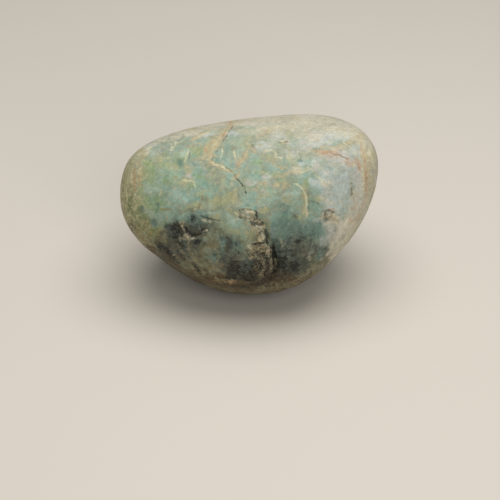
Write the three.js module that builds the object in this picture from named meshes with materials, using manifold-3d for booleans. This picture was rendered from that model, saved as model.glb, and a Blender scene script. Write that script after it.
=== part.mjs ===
// A river-worn boulder of raw jadeite: one closed solid, 150 mm long.
//
// Millimetres, +Z up. The origin is the middle of the small flat that the boulder rests on.
// +X runs along its length, and the broken scar is on the front, towards -Y.

import * as THREE from 'three';
import { mergeVertices } from 'three/addons/utils/BufferGeometryUtils.js';
import Module from 'manifold-3d';

// The point inside the boulder from which its surface is measured.
const HEART = new THREE.Vector3( 0, - 5.5, 52 );

// How crisply two worn faces meet. The river has left no edge sharp.
const WEAR_POWER = 9;

// The broad faces that wear has left, as the bearing of each one's normal (0 is +X, 90 is +Y),
// its rise above level in degrees, and its distance from the heart.
const WORN_FACES = [
	{ bearing: 0, rise: 88, distance: 52 }, // crown
	{ bearing: - 100, rise: 66, distance: 51 }, // broad top, tipped to the front
	{ bearing: 104, rise: 58, distance: 48 }, // back of the top
	{ bearing: 54, rise: 51, distance: 72 }, // back of the upper right corner
	{ bearing: 30, rise: 36, distance: 85 }, // upper right corner
	{ bearing: 132, rise: 48, distance: 59 }, // upper left shoulder
	{ bearing: 170, rise: 15, distance: 79 }, // left end, upper half
	{ bearing: 192, rise: - 18, distance: 77 }, // left end, lower half
	{ bearing: 10, rise: 12, distance: 83 }, // right end, upper half
	{ bearing: - 14, rise: - 20, distance: 65 }, // right end, cut back under the corner
	{ bearing: - 90, rise: 18, distance: 58 }, // front
	{ bearing: - 58, rise: 14, distance: 60 }, // front, right half
	{ bearing: - 122, rise: 14, distance: 63 }, // front, left half
	{ bearing: - 92, rise: - 20, distance: 57 }, // front, below the scar
	{ bearing: 90, rise: 4, distance: 60 }, // back
	{ bearing: 58, rise: 2, distance: 65 }, // back, right half
	{ bearing: 124, rise: 6, distance: 63 }, // back, left half
	{ bearing: 150, rise: - 4, distance: 74 }, // back left corner
	{ bearing: 30, rise: - 6, distance: 76 }, // back right corner
	{ bearing: - 36, rise: - 42, distance: 57 }, // under the right end
	{ bearing: - 141, rise: - 44, distance: 57 }, // under the left end
	{ bearing: - 90, rise: - 57, distance: 56 }, // under the front
	{ bearing: 90, rise: - 42, distance: 57 }, // under the back
	{ bearing: 26, rise: - 40, distance: 62 }, // under the back right corner
	{ bearing: 150, rise: - 40, distance: 61 }, // under the back left corner
	{ bearing: 0, rise: - 90, distance: 55 }, // underside
];

// Gentle swells and hollows between the worn faces: where each is, how many degrees it spreads,
// and how far it stands out. A negative height is a hollow.
const SWELLS = [
	{ bearing: - 138, rise: 34, spread: 20, height: - 0.9 },
	{ bearing: - 72, rise: 46, spread: 24, height: 0.9 },
	{ bearing: - 40, rise: 22, spread: 15, height: - 0.8 },
	{ bearing: - 160, rise: - 8, spread: 18, height: 0.8 },
	{ bearing: 60, rise: 24, spread: 22, height: - 1.6 },
	{ bearing: 130, rise: 14, spread: 20, height: 1.4 },
	{ bearing: 96, rise: - 20, spread: 18, height: - 1.3 },
	{ bearing: 20, rise: - 24, spread: 20, height: 1.2 },
	{ bearing: 165, rise: 48, spread: 18, height: 0.4 },
];

// The relief on the front is placed as someone sees it who looks down on the boulder at this angle:
// [ across, up ], to the right and upwards, in millimetres from the heart.
const LOOK_DOWN = 33;

// The scar. Left of its edge the stone stands proud in a lobe, and right of it lies a cleft.
const SCAR = {
	// Each point is [ across, up, drop ]: the drop is how deep the step is there.
	edge: [
		[ 1, - 11, 1.2 ],
		[ 5, - 15, 1.8 ],
		[ 7, - 19, 2.2 ],
		[ 8, - 23, 2.6 ],
		[ 11, - 27, 3.2 ],
		[ 12, - 32, 3.6 ],
		[ 12, - 37, 3.6 ],
		[ 10, - 42, 2.8 ],
		[ 6, - 46, 1.4 ],
	],
	lobeShare: 0.5, // of the drop, above the worn surface; the rest is below it
	lobeWidth: 18,
	cleftWidth: 6,
	edgeWidth: 1.6,
	fade: 6, // how far the scar runs out past both ends
};
const SCAR_LINE_PARTS = 60;

// Pits and knobs beside the scar: the centre, the half length and half width, how far the long
// way is turned from level, and the height. A negative height is a pit.
const MARKS = [
	{ at: [ - 3, - 6.5 ], half: [ 6, 3 ], turn: - 12, height: 1.3 }, // knob over the scar
	{ at: [ - 37, - 16 ], half: [ 14, 9 ], turn: - 12, height: - 1 }, // broad hollow of the pits
	{ at: [ - 46, - 16 ], half: [ 5, 4 ], turn: - 40, height: - 1.3 },
	{ at: [ - 35, - 19 ], half: [ 5, 3 ], turn: 12, height: - 1.4 },
	{ at: [ - 27, - 16 ], half: [ 4, 3 ], turn: 20, height: - 1.1 },
	{ at: [ - 34, - 9 ], half: [ 4.5, 3 ], turn: 60, height: - 0.9 },
	{ at: [ - 32, - 24 ], half: [ 8, 3 ], turn: 10, height: 1.4 }, // lip under the pits
	{ at: [ - 54, - 27 ], half: [ 6, 3 ], turn: - 50, height: - 1.1 },
	{ at: [ 45, - 8 ], half: [ 5, 3 ], turn: - 15, height: 0.9 }, // small scar at the right
	{ at: [ 42, - 12 ], half: [ 4, 2.5 ], turn: - 30, height: - 1.1 },
	{ at: [ - 10, - 39 ], half: [ 4, 3.4 ], turn: 0, height: - 1 },
	{ at: [ - 29, - 39 ], half: [ 6, 2.6 ], turn: - 58, height: - 0.9 },
	{ at: [ - 15, - 47 ], half: [ 8, 2.6 ], turn: - 18, height: 0.7 }, // ridge under the lobe
];

// Mesh detail: an icosahedron with each edge in this many parts, drawn together around the scar,
// where the facets' sides are this share shorter.
const MESH_PARTS = 20;
const MESH_CENTRE = { bearing: - 86, rise: 2 };
const MESH_PULL = 0.6;

// The side of the block that is cut away under the flat, more than the boulder's length, and how
// close to the flat a corner of the mesh is put on it, so that the cut leaves no slivers.
const CUT_SIDE = 400;
const CUT_SNAP = 0.4;

// The unit vector with a bearing and a rise in degrees.
function towards( { bearing, rise } ) {

	const b = THREE.MathUtils.degToRad( bearing );
	const r = THREE.MathUtils.degToRad( rise );
	return new THREE.Vector3( Math.cos( r ) * Math.cos( b ), Math.cos( r ) * Math.sin( b ), Math.sin( r ) );

}

const WORN_NORMALS = WORN_FACES.map( towards );
const SWELL_CENTRES = SWELLS.map( towards );

// How far the worn surface lies from the heart along a unit direction.
function wornReach( direction ) {

	let sum = 0;
	WORN_FACES.forEach( ( face, i ) => {

		const share = Math.max( 0, direction.dot( WORN_NORMALS[ i ] ) ) / face.distance;
		sum += share ** WEAR_POWER;

	} );
	return sum ** ( - 1 / WEAR_POWER );

}

// A bell curve, 1 in the middle.
function bell( x ) {

	return Math.exp( - x * x );

}

// The height of the swells and hollows along a unit direction.
function swellHeight( direction ) {

	let height = 0;
	SWELLS.forEach( ( swell, i ) => {

		const apart = THREE.MathUtils.radToDeg( direction.angleTo( SWELL_CENTRES[ i ] ) );
		height += swell.height * bell( apart / swell.spread );

	} );
	return height;

}

// The scar's edge as a fine line of points, from the top down.
const SCAR_LINE = new THREE.CatmullRomCurve3( SCAR.edge.map( ( point ) => new THREE.Vector3( ...point ) ) )
	.getPoints( SCAR_LINE_PARTS );

// The scar's edge at a height: how far across it is, and how deep its step is.
function scarAt( up ) {

	const last = SCAR_LINE.length - 1;
	if ( up >= SCAR_LINE[ 0 ].y ) return SCAR_LINE[ 0 ];
	if ( up <= SCAR_LINE[ last ].y ) return SCAR_LINE[ last ];
	const below = SCAR_LINE.findIndex( ( point ) => point.y < up );
	const [ high, low ] = [ SCAR_LINE[ below - 1 ], SCAR_LINE[ below ] ];
	return high.clone().lerp( low, ( high.y - up ) / ( high.y - low.y ) );

}

// The height of the scar's lobe and cleft at a place on the front.
function scarHeight( across, up ) {

	const edge = scarAt( up );
	const right = across - edge.x;
	const lobe = SCAR.lobeShare * bell( Math.min( right, 0 ) / SCAR.lobeWidth );
	const cleft = ( SCAR.lobeShare - 1 ) * bell( Math.max( right, 0 ) / SCAR.cleftWidth );
	const side = THREE.MathUtils.smoothstep( right, - SCAR.edgeWidth / 2, SCAR.edgeWidth / 2 );
	return edge.z * THREE.MathUtils.lerp( lobe, cleft, side ) * bell( ( up - edge.y ) / SCAR.fade );

}

// The height of the pits and knobs at a place on the front.
function markHeight( across, up ) {

	let height = 0;
	for ( const mark of MARKS ) {

		const turn = THREE.MathUtils.degToRad( mark.turn );
		const x = across - mark.at[ 0 ];
		const y = up - mark.at[ 1 ];
		const along = x * Math.cos( turn ) + y * Math.sin( turn );
		const aside = y * Math.cos( turn ) - x * Math.sin( turn );
		height += mark.height * bell( Math.hypot( along / mark.half[ 0 ], aside / mark.half[ 1 ] ) );

	}

	return height;

}

// How far the finished surface lies from the heart along a unit direction.
function reach( direction ) {

	const worn = wornReach( direction ) + swellHeight( direction );
	const fall = THREE.MathUtils.degToRad( LOOK_DOWN );
	const toFront = direction.z * Math.sin( fall ) - direction.y * Math.cos( fall );
	if ( toFront <= 0 ) return worn;
	const across = worn * direction.x;
	const up = worn * ( direction.y * Math.sin( fall ) + direction.z * Math.cos( fall ) );
	return worn + scarHeight( across, up ) + markHeight( across, up );

}

// Draws a direction closer to the middle of the fine part of the mesh.
function drawnTogether( direction ) {

	const middle = towards( MESH_CENTRE );
	const angle = direction.angleTo( middle );
	const aside = direction.clone().addScaledVector( middle, - direction.dot( middle ) ).normalize();
	const drawn = angle - MESH_PULL * Math.sin( angle );
	return middle.multiplyScalar( Math.cos( drawn ) ).addScaledVector( aside, Math.sin( drawn ) );

}

// Leaves a geometry with shared corners and nothing but their places.
function weld( geometry ) {

	geometry.deleteAttribute( 'normal' );
	geometry.deleteAttribute( 'uv' );
	return mergeVertices( geometry );

}

// The whole stone as a closed mesh, before the flat is cut.
function stoneGeometry() {

	const stone = weld( new THREE.IcosahedronGeometry( 1, MESH_PARTS - 1 ) );
	const position = stone.getAttribute( 'position' );
	for ( let i = 0; i < position.count; i ++ ) {

		const direction = drawnTogether( new THREE.Vector3().fromBufferAttribute( position, i ).normalize() );
		const point = direction.clone().multiplyScalar( reach( direction ) ).add( HEART );
		if ( Math.abs( point.z ) < CUT_SNAP ) point.z = 0;
		position.setXYZ( i, point.x, point.y, point.z );

	}

	return stone;

}

// Everything under z = 0, as a block.
function groundBlock() {

	return weld( new THREE.BoxGeometry( CUT_SIDE, CUT_SIDE, CUT_SIDE ).translate( 0, 0, - CUT_SIDE / 2 ) );

}

const wasm = await Module();
wasm.setup();

// A closed geometry as a solid that can be cut.
function solidOf( geometry ) {

	return new wasm.Manifold( new wasm.Mesh( {
		numProp: 3,
		vertProperties: geometry.getAttribute( 'position' ).array,
		triVerts: new Uint32Array( geometry.index.array ),
	} ) );

}

// A solid back as a geometry with flat-shaded faces.
function geometryOf( solid ) {

	const mesh = solid.getMesh();
	const geometry = new THREE.BufferGeometry();
	geometry.setAttribute( 'position', new THREE.BufferAttribute( mesh.vertProperties, 3 ) );
	geometry.setIndex( new THREE.BufferAttribute( mesh.triVerts, 1 ) );
	const faceted = geometry.toNonIndexed();
	faceted.computeVertexNormals();
	return faceted;

}

const boulder = new THREE.Mesh(
	geometryOf( solidOf( stoneGeometry() ).subtract( solidOf( groundBlock() ) ) ),
	new THREE.MeshStandardMaterial( { color: 0x8fa090, roughness: 0.5, metalness: 0 } ),
);
boulder.name = 'boulder';

const rawJadeite = new THREE.Group();
rawJadeite.add( boulder );

export default rawJadeite;
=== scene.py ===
import math

import bpy
import numpy as np
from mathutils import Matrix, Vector, noise


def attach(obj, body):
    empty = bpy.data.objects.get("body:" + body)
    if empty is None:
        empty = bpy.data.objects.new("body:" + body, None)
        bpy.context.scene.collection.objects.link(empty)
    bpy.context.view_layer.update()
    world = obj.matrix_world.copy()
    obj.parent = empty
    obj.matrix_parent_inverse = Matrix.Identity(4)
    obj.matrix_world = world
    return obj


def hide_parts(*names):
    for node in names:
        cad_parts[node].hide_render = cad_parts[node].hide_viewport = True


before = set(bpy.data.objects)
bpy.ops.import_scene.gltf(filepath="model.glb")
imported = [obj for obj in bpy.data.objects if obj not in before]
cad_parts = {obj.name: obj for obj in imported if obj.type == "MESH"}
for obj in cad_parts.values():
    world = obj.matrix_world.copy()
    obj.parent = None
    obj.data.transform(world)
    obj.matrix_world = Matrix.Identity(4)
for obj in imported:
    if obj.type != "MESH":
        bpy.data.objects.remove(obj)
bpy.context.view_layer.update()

# A millimetre in metres, a metre in millimetres, and the middle of noise and other values from 0 to 1.
MM = 0.001
METRE = 1000
MIDDLE = 0.5

# The stone's heart, which its worn faces are measured from, in mm. Marks are placed in mm across and up
# from it, as an eye sees them on the plane through the heart. Each look is the eye's turn round the stone
# from the front and how steeply it looks down, in degrees. The front eye is the camera.
HEART = np.array((0, -5.5, 52))
LOOKS = {"front": (0, 33), "back": (180, 25), "right": (90, 15), "left": (-90, 20), "top": (0, 80)}

# A look's marks come in between two values of how squarely a corner faces its eye, where 1 is straight at
# it and 0 is side on. The other looks' marks fade out where a corner faces the front eye more squarely than
# their own value, and are gone at FADE above it.
COMES_IN = (-0.15, 0.1)
FADES_OUT = {"back": 0.3, "right": 0.5, "left": 0.4, "top": 0.3}
FADE = 0.3

# The camera looks down on the stone. Its middle of view passes a little above the place where the stone
# rests. All in mm.
CAMERA_DISTANCE = 1593
LENS = 196.7
FILM = 36
AIM_RIGHT = 0.47
AIM_UP = -12.77

# The studio: sizes and places in mm, strengths in watts.
FLOOR_RADIUS = 3000
FLOOR_SIDES = 64
FLOOR_HEX = "cec6b9"
FLOOR_ROUGHNESS = 0.9
SKY_HEX = "e8ecf2"
SKY_STRENGTH = 0.28
SOFT_LIGHTS = [
    # name, place, width, watts
    ("overhead", (60, -50, 950), 1000, 8.7),
    ("front_fill", (350, -1350, 850), 900, 8.2),
]

# The fine copy of the stone: how close corners are joined, in mm, and how often its faces are divided.
WELD = 0.01
DIVISIONS = 2

# The finishes of the rind, from the lowest layer up: colour, the size in mm of the grain that breaks it,
# how far the grain does so and the share of it that shows. Threads and strokes lie over the finishes, and
# the stains lie over those.
FINISHES = {
    # The pale cream of the right end, lightened and warmed with a painted glow of light from below.
    "end_cream_and_glow": ("d3c8b3", 9, 0.35, 0.7),
    "sea_mint": ("829b8b", 7, 0.5, 0.75),
    "deep_mint": ("6b8c7b", 6, 0.5, 0.7),
    "leaf_green": ("75905c", 5, 0.6, 0.6),
    "light_mint": ("9db3a3", 6, 0.5, 0.65),
    "pale_mist": ("adb6b1", 7, 0.4, 0.8),
    "lilac": ("b4afa6", 5, 0.5, 0.65),
    "cream": ("beb69e", 7, 0.5, 0.8),
    "olive": ("9a986e", 5, 0.6, 0.65),
    "tan": ("a59672", 3.5, 0.7, 0.5),
    "rust": ("ac8a6c", 4, 0.5, 0.5),
    "tan_band": ("ad9b72", 3, 0.7, 0.7),
    "pale_band": ("bdb894", 2, 0.6, 0.5),
    "rust_band": ("ab8468", 4, 0.5, 0.55),
}
STAINS = {
    "ochre": ("84703a", 3, 0.9, 0.65),
    "moss": ("66744c", 4, 0.7, 0.65),
    "olive_grey": ("605d46", 5, 0.5, 0.85),
    "teal": ("566f64", 6, 0.35, 0.8),
    "dark_grey": ("3b413b", 6, 0.4, 0.85),
    # Brown of the underside, and painted shade that darkens the stone towards its foot.
    "base_brown_and_shade": ("4a361c", 8, 0.3, 0.85),
    "near_black": ("10140f", 3.4, 0.45, 0.9),
    "scar_cream": ("b09b70", 2.4, 0.8, 0.7),
    "scar_brown": ("4d3f29", 2, 0.8, 0.8),
    "dim_band": ("8d8667", 2.2, 1, 0.5),
    "dim_crumbs": ("968b6c", 1.4, 1, 0.75),
    "pale_crumbs": ("c6bc9c", 1.3, 1, 0.75),
    "dark_crumbs": ("15150e", 1.5, 1, 0.85),
}

# The patches that a finish lies in, by the look that they are placed from: across, up, half width, half
# height and, where a patch is turned, its turn in degrees.
PATCHES = {
    ("front", "sea_mint"): [
        (-46, 1, 11, 7), (-35, 1, 7, 4), (-53, 8, 5, 8), (-60, 8, 4, 6), (-51, -8, 7, 5, 20),
        (-45, 15, 7, 4), (-40, 31, 5, 2, 10), (-30, 33, 5, 2.6, 15), (-20, 25, 3, 4), (2, 24, 3, 3),
        (9, 18, 5, 2.5), (5, 2, 9, 4), (31, 11, 6, 4), (37, 8, 4, 4), (36, -3, 5, 3), (-1, -2, 4, 2),
        (25, 0, 4, 6), (-28, 9, 3, 3), (-10, -17, 6, 4), (54, -4, 2, 5), (-6, 30, 2, 2), (-32, 17, 4, 3),
        (30, -9, 5, 3), (16, -9, 4, 4), (-8, 20, 4, 3), (-43, -9, 3, 2), (40, -20, 3, 5),
        (-46, 17.4, 4, 3), (-26, 6, 5, 3), (-60, -12, 3, 3), (-7, 35, 5, 2.4), (4, 14, 4, 2.4),
        (13, 17, 4, 1.4), (-14, 25, 3, 4), (46, -7, 3, 1.6), (-41, 5.6, 8, 3.4), (10, 21, 2.4, 1.4),
        (10, 5.4, 3, 1.6), (35, 23, 5, 1.6), (13, -13, 2.4, 3), (-45, -7, 3, 1.6),
        (-24, -9.6, 4, 1.4, -10), (-8, -18, 5, 2.6), (-12, -15, 3, 1.6), (-16, -22, 1.6, 2.4),
        (-45, -8, 3.4, 2), (-12, 14.6, 3, 2),
    ],
    ("front", "deep_mint"): [
        (-20.6, 24, 2.6, 3.4, 10), (-37.6, 18, 1.8, 4, 10), (-46, 16, 4, 2.6), (-54, 0.6, 3.4, 2.4),
        (-66, -4, 2.6, 6, 10), (-49, -12, 4, 3), (3, 15.4, 4.4, 1.8), (13, 16.6, 3, 1.2),
        (27.6, 17, 3, 1.2), (-24, 8.4, 4, 2), (-28.4, 3, 2.6, 1.8), (6, 9, 2.4, 1.4),
        (22, 25.4, 1.6, 2.4), (34, 24, 4, 1.2, 10), (-4, 33.4, 3.4, 1.8), (24, 33, 2, 1.8),
        (-4, 26.6, 1.6, 2), (-11, 21.6, 3.4, 1.4, -20), (44, 18, 3, 1.2), (-57, 27, 3, 2, 30),
        (-13, 11, 2, 2), (16, 8.6, 2.4, 1.4), (37, -2, 3, 2), (-36, 1, 3, 1.4), (-48, 24, 3, 1.6),
        (-30, 16.6, 2.4, 2), (40, 6, 2.6, 1.6), (18, -10, 3, 3), (13, -11, 1.4, 3), (-60, 16, 2.4, 3),
        (-33, 25.6, 2, 2), (11, 34.6, 3.4, 1.4), (-14, 31, 2, 3), (50, 33.4, 5, 1.2, -8), (2, -4, 2, 1.4),
        (36, 23, 4, 1.6), (9, 15, 3, 1.8), (-65, -5, 3.4, 5), (22.4, 25, 1.6, 1.8), (-37, 20, 2, 3),
        (-12, -16.4, 4, 2), (-5, -20, 4, 1.8), (-30, 4, 3, 2), (2, 40, 3, 1.4), (17, 38.6, 3, 1.4),
    ],
    ("front", "leaf_green"): [
        (-56, 20, 5, 4, 20), (-41, 23, 5, 4), (-31, 28, 4, 4), (-29, 14, 3.5, 2.5), (-38.5, 23.5, 1.4, 2),
        (4, 22, 3, 1.8), (-52, -2, 3, 4), (-47, 12.5, 5, 2.5), (11, 6.5, 1.8, 1.4), (-60, -1, 4, 5),
        (3, 17, 1.2, 1.8), (32, 9, 3, 2), (51, 3, 2, 2), (-33, 9, 3, 2), (-58, 12, 3, 4),
        (-67, -7, 2.4, 5), (18, -10, 4, 2), (-62, 4, 3, 5),
    ],
    ("front", "light_mint"): [
        (-43, 4.4, 5, 2.4), (-26.4, -7.4, 2.8, 1.2), (-12, -8.4, 3, 1.8), (-22, -2.6, 2.4, 1.8),
        (-38, 2, 4, 2), (-57, 8, 3, 2.4), (-8, -12, 3, 2), (50, 9, 4, 3), (22, 4, 4, 2), (-37, 28, 3, 2),
        (-20, -7, 3, 1.6),
    ],
    ("front", "pale_mist"): [
        (50, 14, 8, 7), (46, 36, 9, 3.4), (54, 20, 6, 4), (55, 4, 4, 8), (46, 5, 6, 6), (-10, 39, 4, 1.4),
        (38, 33, 6, 2), (46, -3, 4, 4), (29, 22, 2.5, 1.5), (60, 14, 4, 8), (16, 37, 4, 2.4),
        (-25, 38, 5, 1, 15), (58, 36, 5, 2, -30), (61, 28, 4, 3), (-16, -23, 1.6, 1.8), (8, 31, 4, 2.4),
        (40, 36, 9, 2), (62, 2, 2.4, 8), (46, 11, 6, 4), (-58, 31, 6, 2.4, 35), (44, 37, 10, 2),
        (63, 0, 2, 7), (13, -17, 1.2, 3), (51.4, -3, 2.4, 6), (50, 9, 4, 4), (36, 10, 3, 2),
        (47, 5, 4, 4), (52, 2, 3, 4),
    ],
    ("front", "lilac"): [
        (37, 38, 5, 2.5), (1, 10, 3, 1.6), (8, 14, 2.6, 1.4), (43.5, 16.5, 2.4, 1), (38.5, -11, 2.4, 1.2),
        (68, 14, 2.6, 8), (7, 6.5, 1.8, 1), (53, 26, 5, 2), (-35, 14, 2.4, 1.4), (22, 30, 3, 5),
        (62, -4, 3, 6, -10), (55, 43, 6, 2, -25), (0, 48, 14, 1.4, 4), (-16, 45, 8, 1.2, 14),
        (50, 24, 8, 3), (66, 30, 2.6, 4), (-8, 45.6, 7, 1.4, 12), (29, 31, 4, 3), (38, 21, 3, 3),
        (60, 15, 3, 5), (4, 44.6, 8, 1.6, 4), (44.6, -18, 3.4, 6, -8), (40.6, -25, 2.4, 3),
        (39.6, -28.4, 2.2, 3), (34.6, -30, 2.4, 2),
    ],
    ("front", "cream"): [
        (32, 46, 16, 4, -2), (12, 46.5, 12, 2.6, 4), (-10, 45.4, 9, 1.6, 13), (28, 40.6, 5, 3),
        (56, 42, 8, 4, -30), (64, 36, 4, 5, 20), (-28, 41, 9, 1.4, 14), (-60, 30, 6, 2.2, 40),
        (69, 27, 3, 8), (34, 39, 6, 2), (43, 10.5, 3, 2, -20), (-50, 35.4, 8, 1.2, 16), (40, 44, 8, 3),
        (44, 0, 4, 2, -30), (10, 41.6, 6, 1.2, 10), (26, 18, 3, 1.6), (64, 22, 3, 6),
        (48, 30, 5, 1.4, 10), (46, -9, 4, 2.4),
    ],
    ("front", "olive"): [
        (-70, 3, 5, 14), (-66, -6, 5, 8), (-71, 16, 4, 9, -15), (-66, 23, 4, 6, -35), (-17, 10.5, 3, 2),
        (-37, 10, 5, 2.4), (-38, 18.5, 4.5, 2), (-10, 3, 3, 3.6), (10, 25, 3, 2), (-2, -18.5, 5, 3.4),
        (25, 24, 1.8, 3), (39.5, 1.2, 3, 1.5), (8.5, -5, 3, 1.2), (-60, 15.5, 3, 2), (15, 15, 4, 1.4),
        (-22, 33, 3, 3.5, -45), (-5, 33, 4, 3), (-47, 20, 5, 2), (28, -9, 3, 1.4), (57.6, 6.5, 1, 4),
        (8, 32, 3, 2.4, 20), (-13, -17, 5, 3), (-49, 25, 6, 2, 10), (-19, 1, 6, 4), (-28, 4, 3, 2),
        (21.6, 38, 1.4, 2.6), (22, 27, 1.4, 4), (7, 16, 3, 1.4), (30.8, 0, 1.4, 7), (0, 40, 4, 1.4, 5),
        (-20, -9, 3, 1.6), (-33, -3, 4, 2),
    ],
    ("front", "tan"): [
        (-65, 11, 3, 3.5), (-62, 26, 2.5, 4, -20), (-25, 28.4, 2, 3.4), (-7, 22, 1.8, 2, -30),
        (8, 10, 3.6, 1.5), (16, 9, 4.5, 1.6, 10), (64, 25, 2.4, 8), (67, 19, 2.5, 4),
        (57, 34, 5, 1.5, 20), (-12, 44, 3, 1.8, 40), (-16, 38.6, 2, 3, -30), (-20.6, 32.6, 2, 2, -40),
        (10, 41.3, 4, 1, 5), (1, 5.8, 2.4, 1, 20), (-17, 19, 5, 1.4, -18), (1, -16, 1.6, 2),
        (13, 42, 3, 1), (18.5, 33, 2.4, 0.8), (-3.4, 25.6, 1.6, 3, 30), (66, 9, 1.4, 5), (-49, 23, 4, 1),
        (43, 31, 5, 1), (-28, 24, 3, 1.6), (30, 38.5, 2.4, 1.2), (23, 16.5, 4, 1.2, 20), (31, 2, 1.2, 6),
        (-37, 20, 3, 1.4, -30), (60, 2, 1.2, 5), (-31, 36.4, 4, 1, 25), (14, 25.4, 2.4, 1.4),
        (-68, 2, 1.6, 3), (14, 22.6, 3, 1.2), (10, 4, 3, 1.6), (-33, 32, 3, 1.4, 25), (-22, 27, 1.8, 4),
        (31, -6, 1.4, 2), (52, 21, 5, 1.6), (-36, 17, 1.4, 2), (62, -8, 1.2, 4, -20),
    ],
    ("front", "rust"): [
        (47.2, 27.2, 2.4, 1.2), (42, 27.7, 4.4, 1), (58.5, -4, 1.1, 1.4), (57, -11, 1, 1.4),
        (43.6, -31.4, 1, 0.8), (1.4, 29, 1.4, 1.2), (61.4, 21, 1, 3, 15), (-43.8, -32.6, 0.9, 0.7),
        (46, -4.8, 2, 0.7, -15), (66, 12, 1, 3), (-8, -32, 1.2, 1.4), (-17.5, -37, 1.5, 2),
        (-25.6, 29.5, 1, 2, 10), (61, -10, 1.4, 3, -20), (57, 22.6, 2.6, 2.4), (52, 29, 4, 1, 15),
        (47, 25, 3, 0.9), (-11, -46.8, 3.6, 1.4, -8), (-8, 20.6, 1.4, 2.4, -25),
    ],
    # Cream on the lower right end, with a painted warm glow of light from below.
    ("front", "end_cream_and_glow"): [
        (61, -2, 4, 8, -10), (52.5, -25, 4, 8, -30), (47, -34, 4, 4, -35), (43, -37, 4, 2, 30),
        (64, 6, 3, 7), (44, -10, 4, 3), (58.5, -13, 3.6, 11, -20), (50.4, -18, 2, 6, -14),
        (47.6, -26, 2, 4, -25),
    ],
    ("front", "moss"): [
        (-65, -6, 3.4, 6, 10), (-61, -11.6, 3, 4, 20), (-57, -17, 3, 4, 30), (-69, 2, 2, 5),
        (-51, -13, 3, 1.6),
    ],
    ("front", "ochre"): [
        (-59, -19, 6, 4, -40), (-57.5, -24, 3, 2.6, -45), (-49, -4.6, 3, 0.6), (-49.5, -21, 3.5, 3.6),
        (-55, -28, 3, 1.5, -45), (-62.5, -16, 2, 3), (-52, -17, 3, 2), (-30, -42, 8, 1.6, -30),
        (-18, -43, 6, 1.4, -12), (34, -42, 8, 1.6, 25), (-22, -27, 3, 3), (-24, -37, 5, 2, -40),
        (-48, -25.6, 3, 5, -20), (-54, -27.4, 3, 2, -45), (-61, -13.6, 2.6, 3), (30, -45, 8, 1.6, 22),
        (-50, -21, 3, 3), (-46, -27, 2, 3),
    ],
    ("front", "olive_grey"): [
        (-25, -28, 10, 9), (-32, -37, 10, 7, -35), (-20, -40, 10, 6, -20), (-5, -29, 7, 7),
        (33, -40, 9, 4, 25), (-23, -20, 6, 4), (-42, -36, 8, 4, -38), (39, -34, 5, 4), (-14, -28, 7, 6),
        (4, -35, 6, 8), (-50, -22, 5, 7, -35), (6, -21, 5, 3), (0, -42, 12, 5), (8, -29, 6, 4),
        (18, -42, 12, 4), (26, -8, 2.4, 1.8), (-68, -15, 2.6, 3, 35), (36, -31, 7, 5), (-26, -13, 4, 3),
        (33, -34, 5, 3), (-41, -22, 2.4, 3),
    ],
    ("front", "teal"): [
        (18.5, -2.8, 3, 1.7), (20.5, -6.5, 4, 1.6, -10), (32, -17, 6, 5), (-55, -12.5, 1.8, 2.6, 30),
        (-2, -37, 3, 5), (-15.8, -24, 1.4, 5), (-20, -32, 4, 4), (40, -28, 3, 5, -20), (-9, -26, 4, 4),
        (-2.4, -2.6, 1.6, 1), (-29, -12, 8, 4), (-38.6, -25, 2.6, 3.6), (-33, -9, 3, 3),
        (22, -14.5, 7, 5), (37, -16.5, 4, 3.6), (28, 23, 1.6, 1), (-38.6, 22, 2, 2.4),
        (43, -10.6, 1.4, 1.2), (17, -15, 4, 6), (18.6, -24, 4.6, 8), (13, -15.4, 1.2, 2.6),
    ],
    ("front", "dark_grey"): [
        (26, -28, 9, 9), (20, -34, 8, 8), (-32, -16.4, 7, 2.6), (-12, -35, 6, 6), (-6, -39, 8, 4),
        (-13, -24, 2.4, 3), (2, -41, 9, 4), (12.5, -37, 3, 6), (1, -37, 4, 5), (-37, -31, 5, 4, -40),
        (25, -41, 6, 3, 15), (-43.5, -18.6, 6, 6.4), (-33, -10, 1.8, 2), (43, -28, 1.8, 2.2),
        (26, -36, 5, 4), (-48, -30, 5, 3.6, -45), (-33, -24, 5, 3), (-1, -38, 5, 3.6),
        (-10, -39.6, 4, 3.4), (17, -33, 4, 8), (31, -24, 4.6, 4), (26, -23.4, 4, 2.6), (-41, -26, 4, 5),
        (-47.4, -15.6, 2, 3),
    ],
    # The brown of the underside, darkened towards the foot with painted shade.
    ("front", "base_brown_and_shade"): [
        (0, -50, 34, 6), (-30, -46, 9, 2.6, -28), (25, -47.6, 11, 3, 18), (-46, -36.6, 8, 2, -38),
        (-57, -28, 5, 1.6, -45), (8, -44, 6, 4), (-14, -46, 9, 2.4, -10), (14, -46, 9, 3, 10),
    ],
    ("front", "near_black"): [
        (-41.4, -16.4, 2, 3, 10), (-51, -26, 4, 1.8, -40), (-46.6, -30, 4, 1.6, -50),
        (-9.2, -39.4, 2.8, 2.8), (1, -43, 6, 2), (-27, -16.8, 1.6, 1.1), (22, -36, 6, 3.6),
        (-33, -19.4, 3, 1.1), (-36.6, -17.4, 1.2, 1.2, 30), (-14, -21, 2, 0.7), (-7.4, -29.6, 0.9, 0.9),
        (-8.5, -24.6, 0.9, 0.9), (-8, -34.2, 1.8, 0.7), (-26, -39.4, 1.6, 0.8, -50), (9, -37.6, 1.6, 3),
        (13.4, -31, 1, 4.4, 4), (15, -38.6, 2.4, 4), (0, -48, 14, 1.2), (24, -30, 3, 2),
        (-3.4, -36.6, 1.2, 1.8), (17, -33, 2.4, 5), (-39, -31, 3, 1, -45), (-33, -36, 2.4, 0.8, -50),
        (-12, -44, 3, 1), (-33.6, -9.8, 1, 1.4), (-38.6, -17.8, 3, 2), (-52, -26.6, 1.8, 1.2, -30),
        (11.4, -29.8, 1.2, 1.6), (3, -40, 5, 3.4), (-10, -40, 3, 2.4), (20, -40, 4, 1.8, 10),
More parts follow.
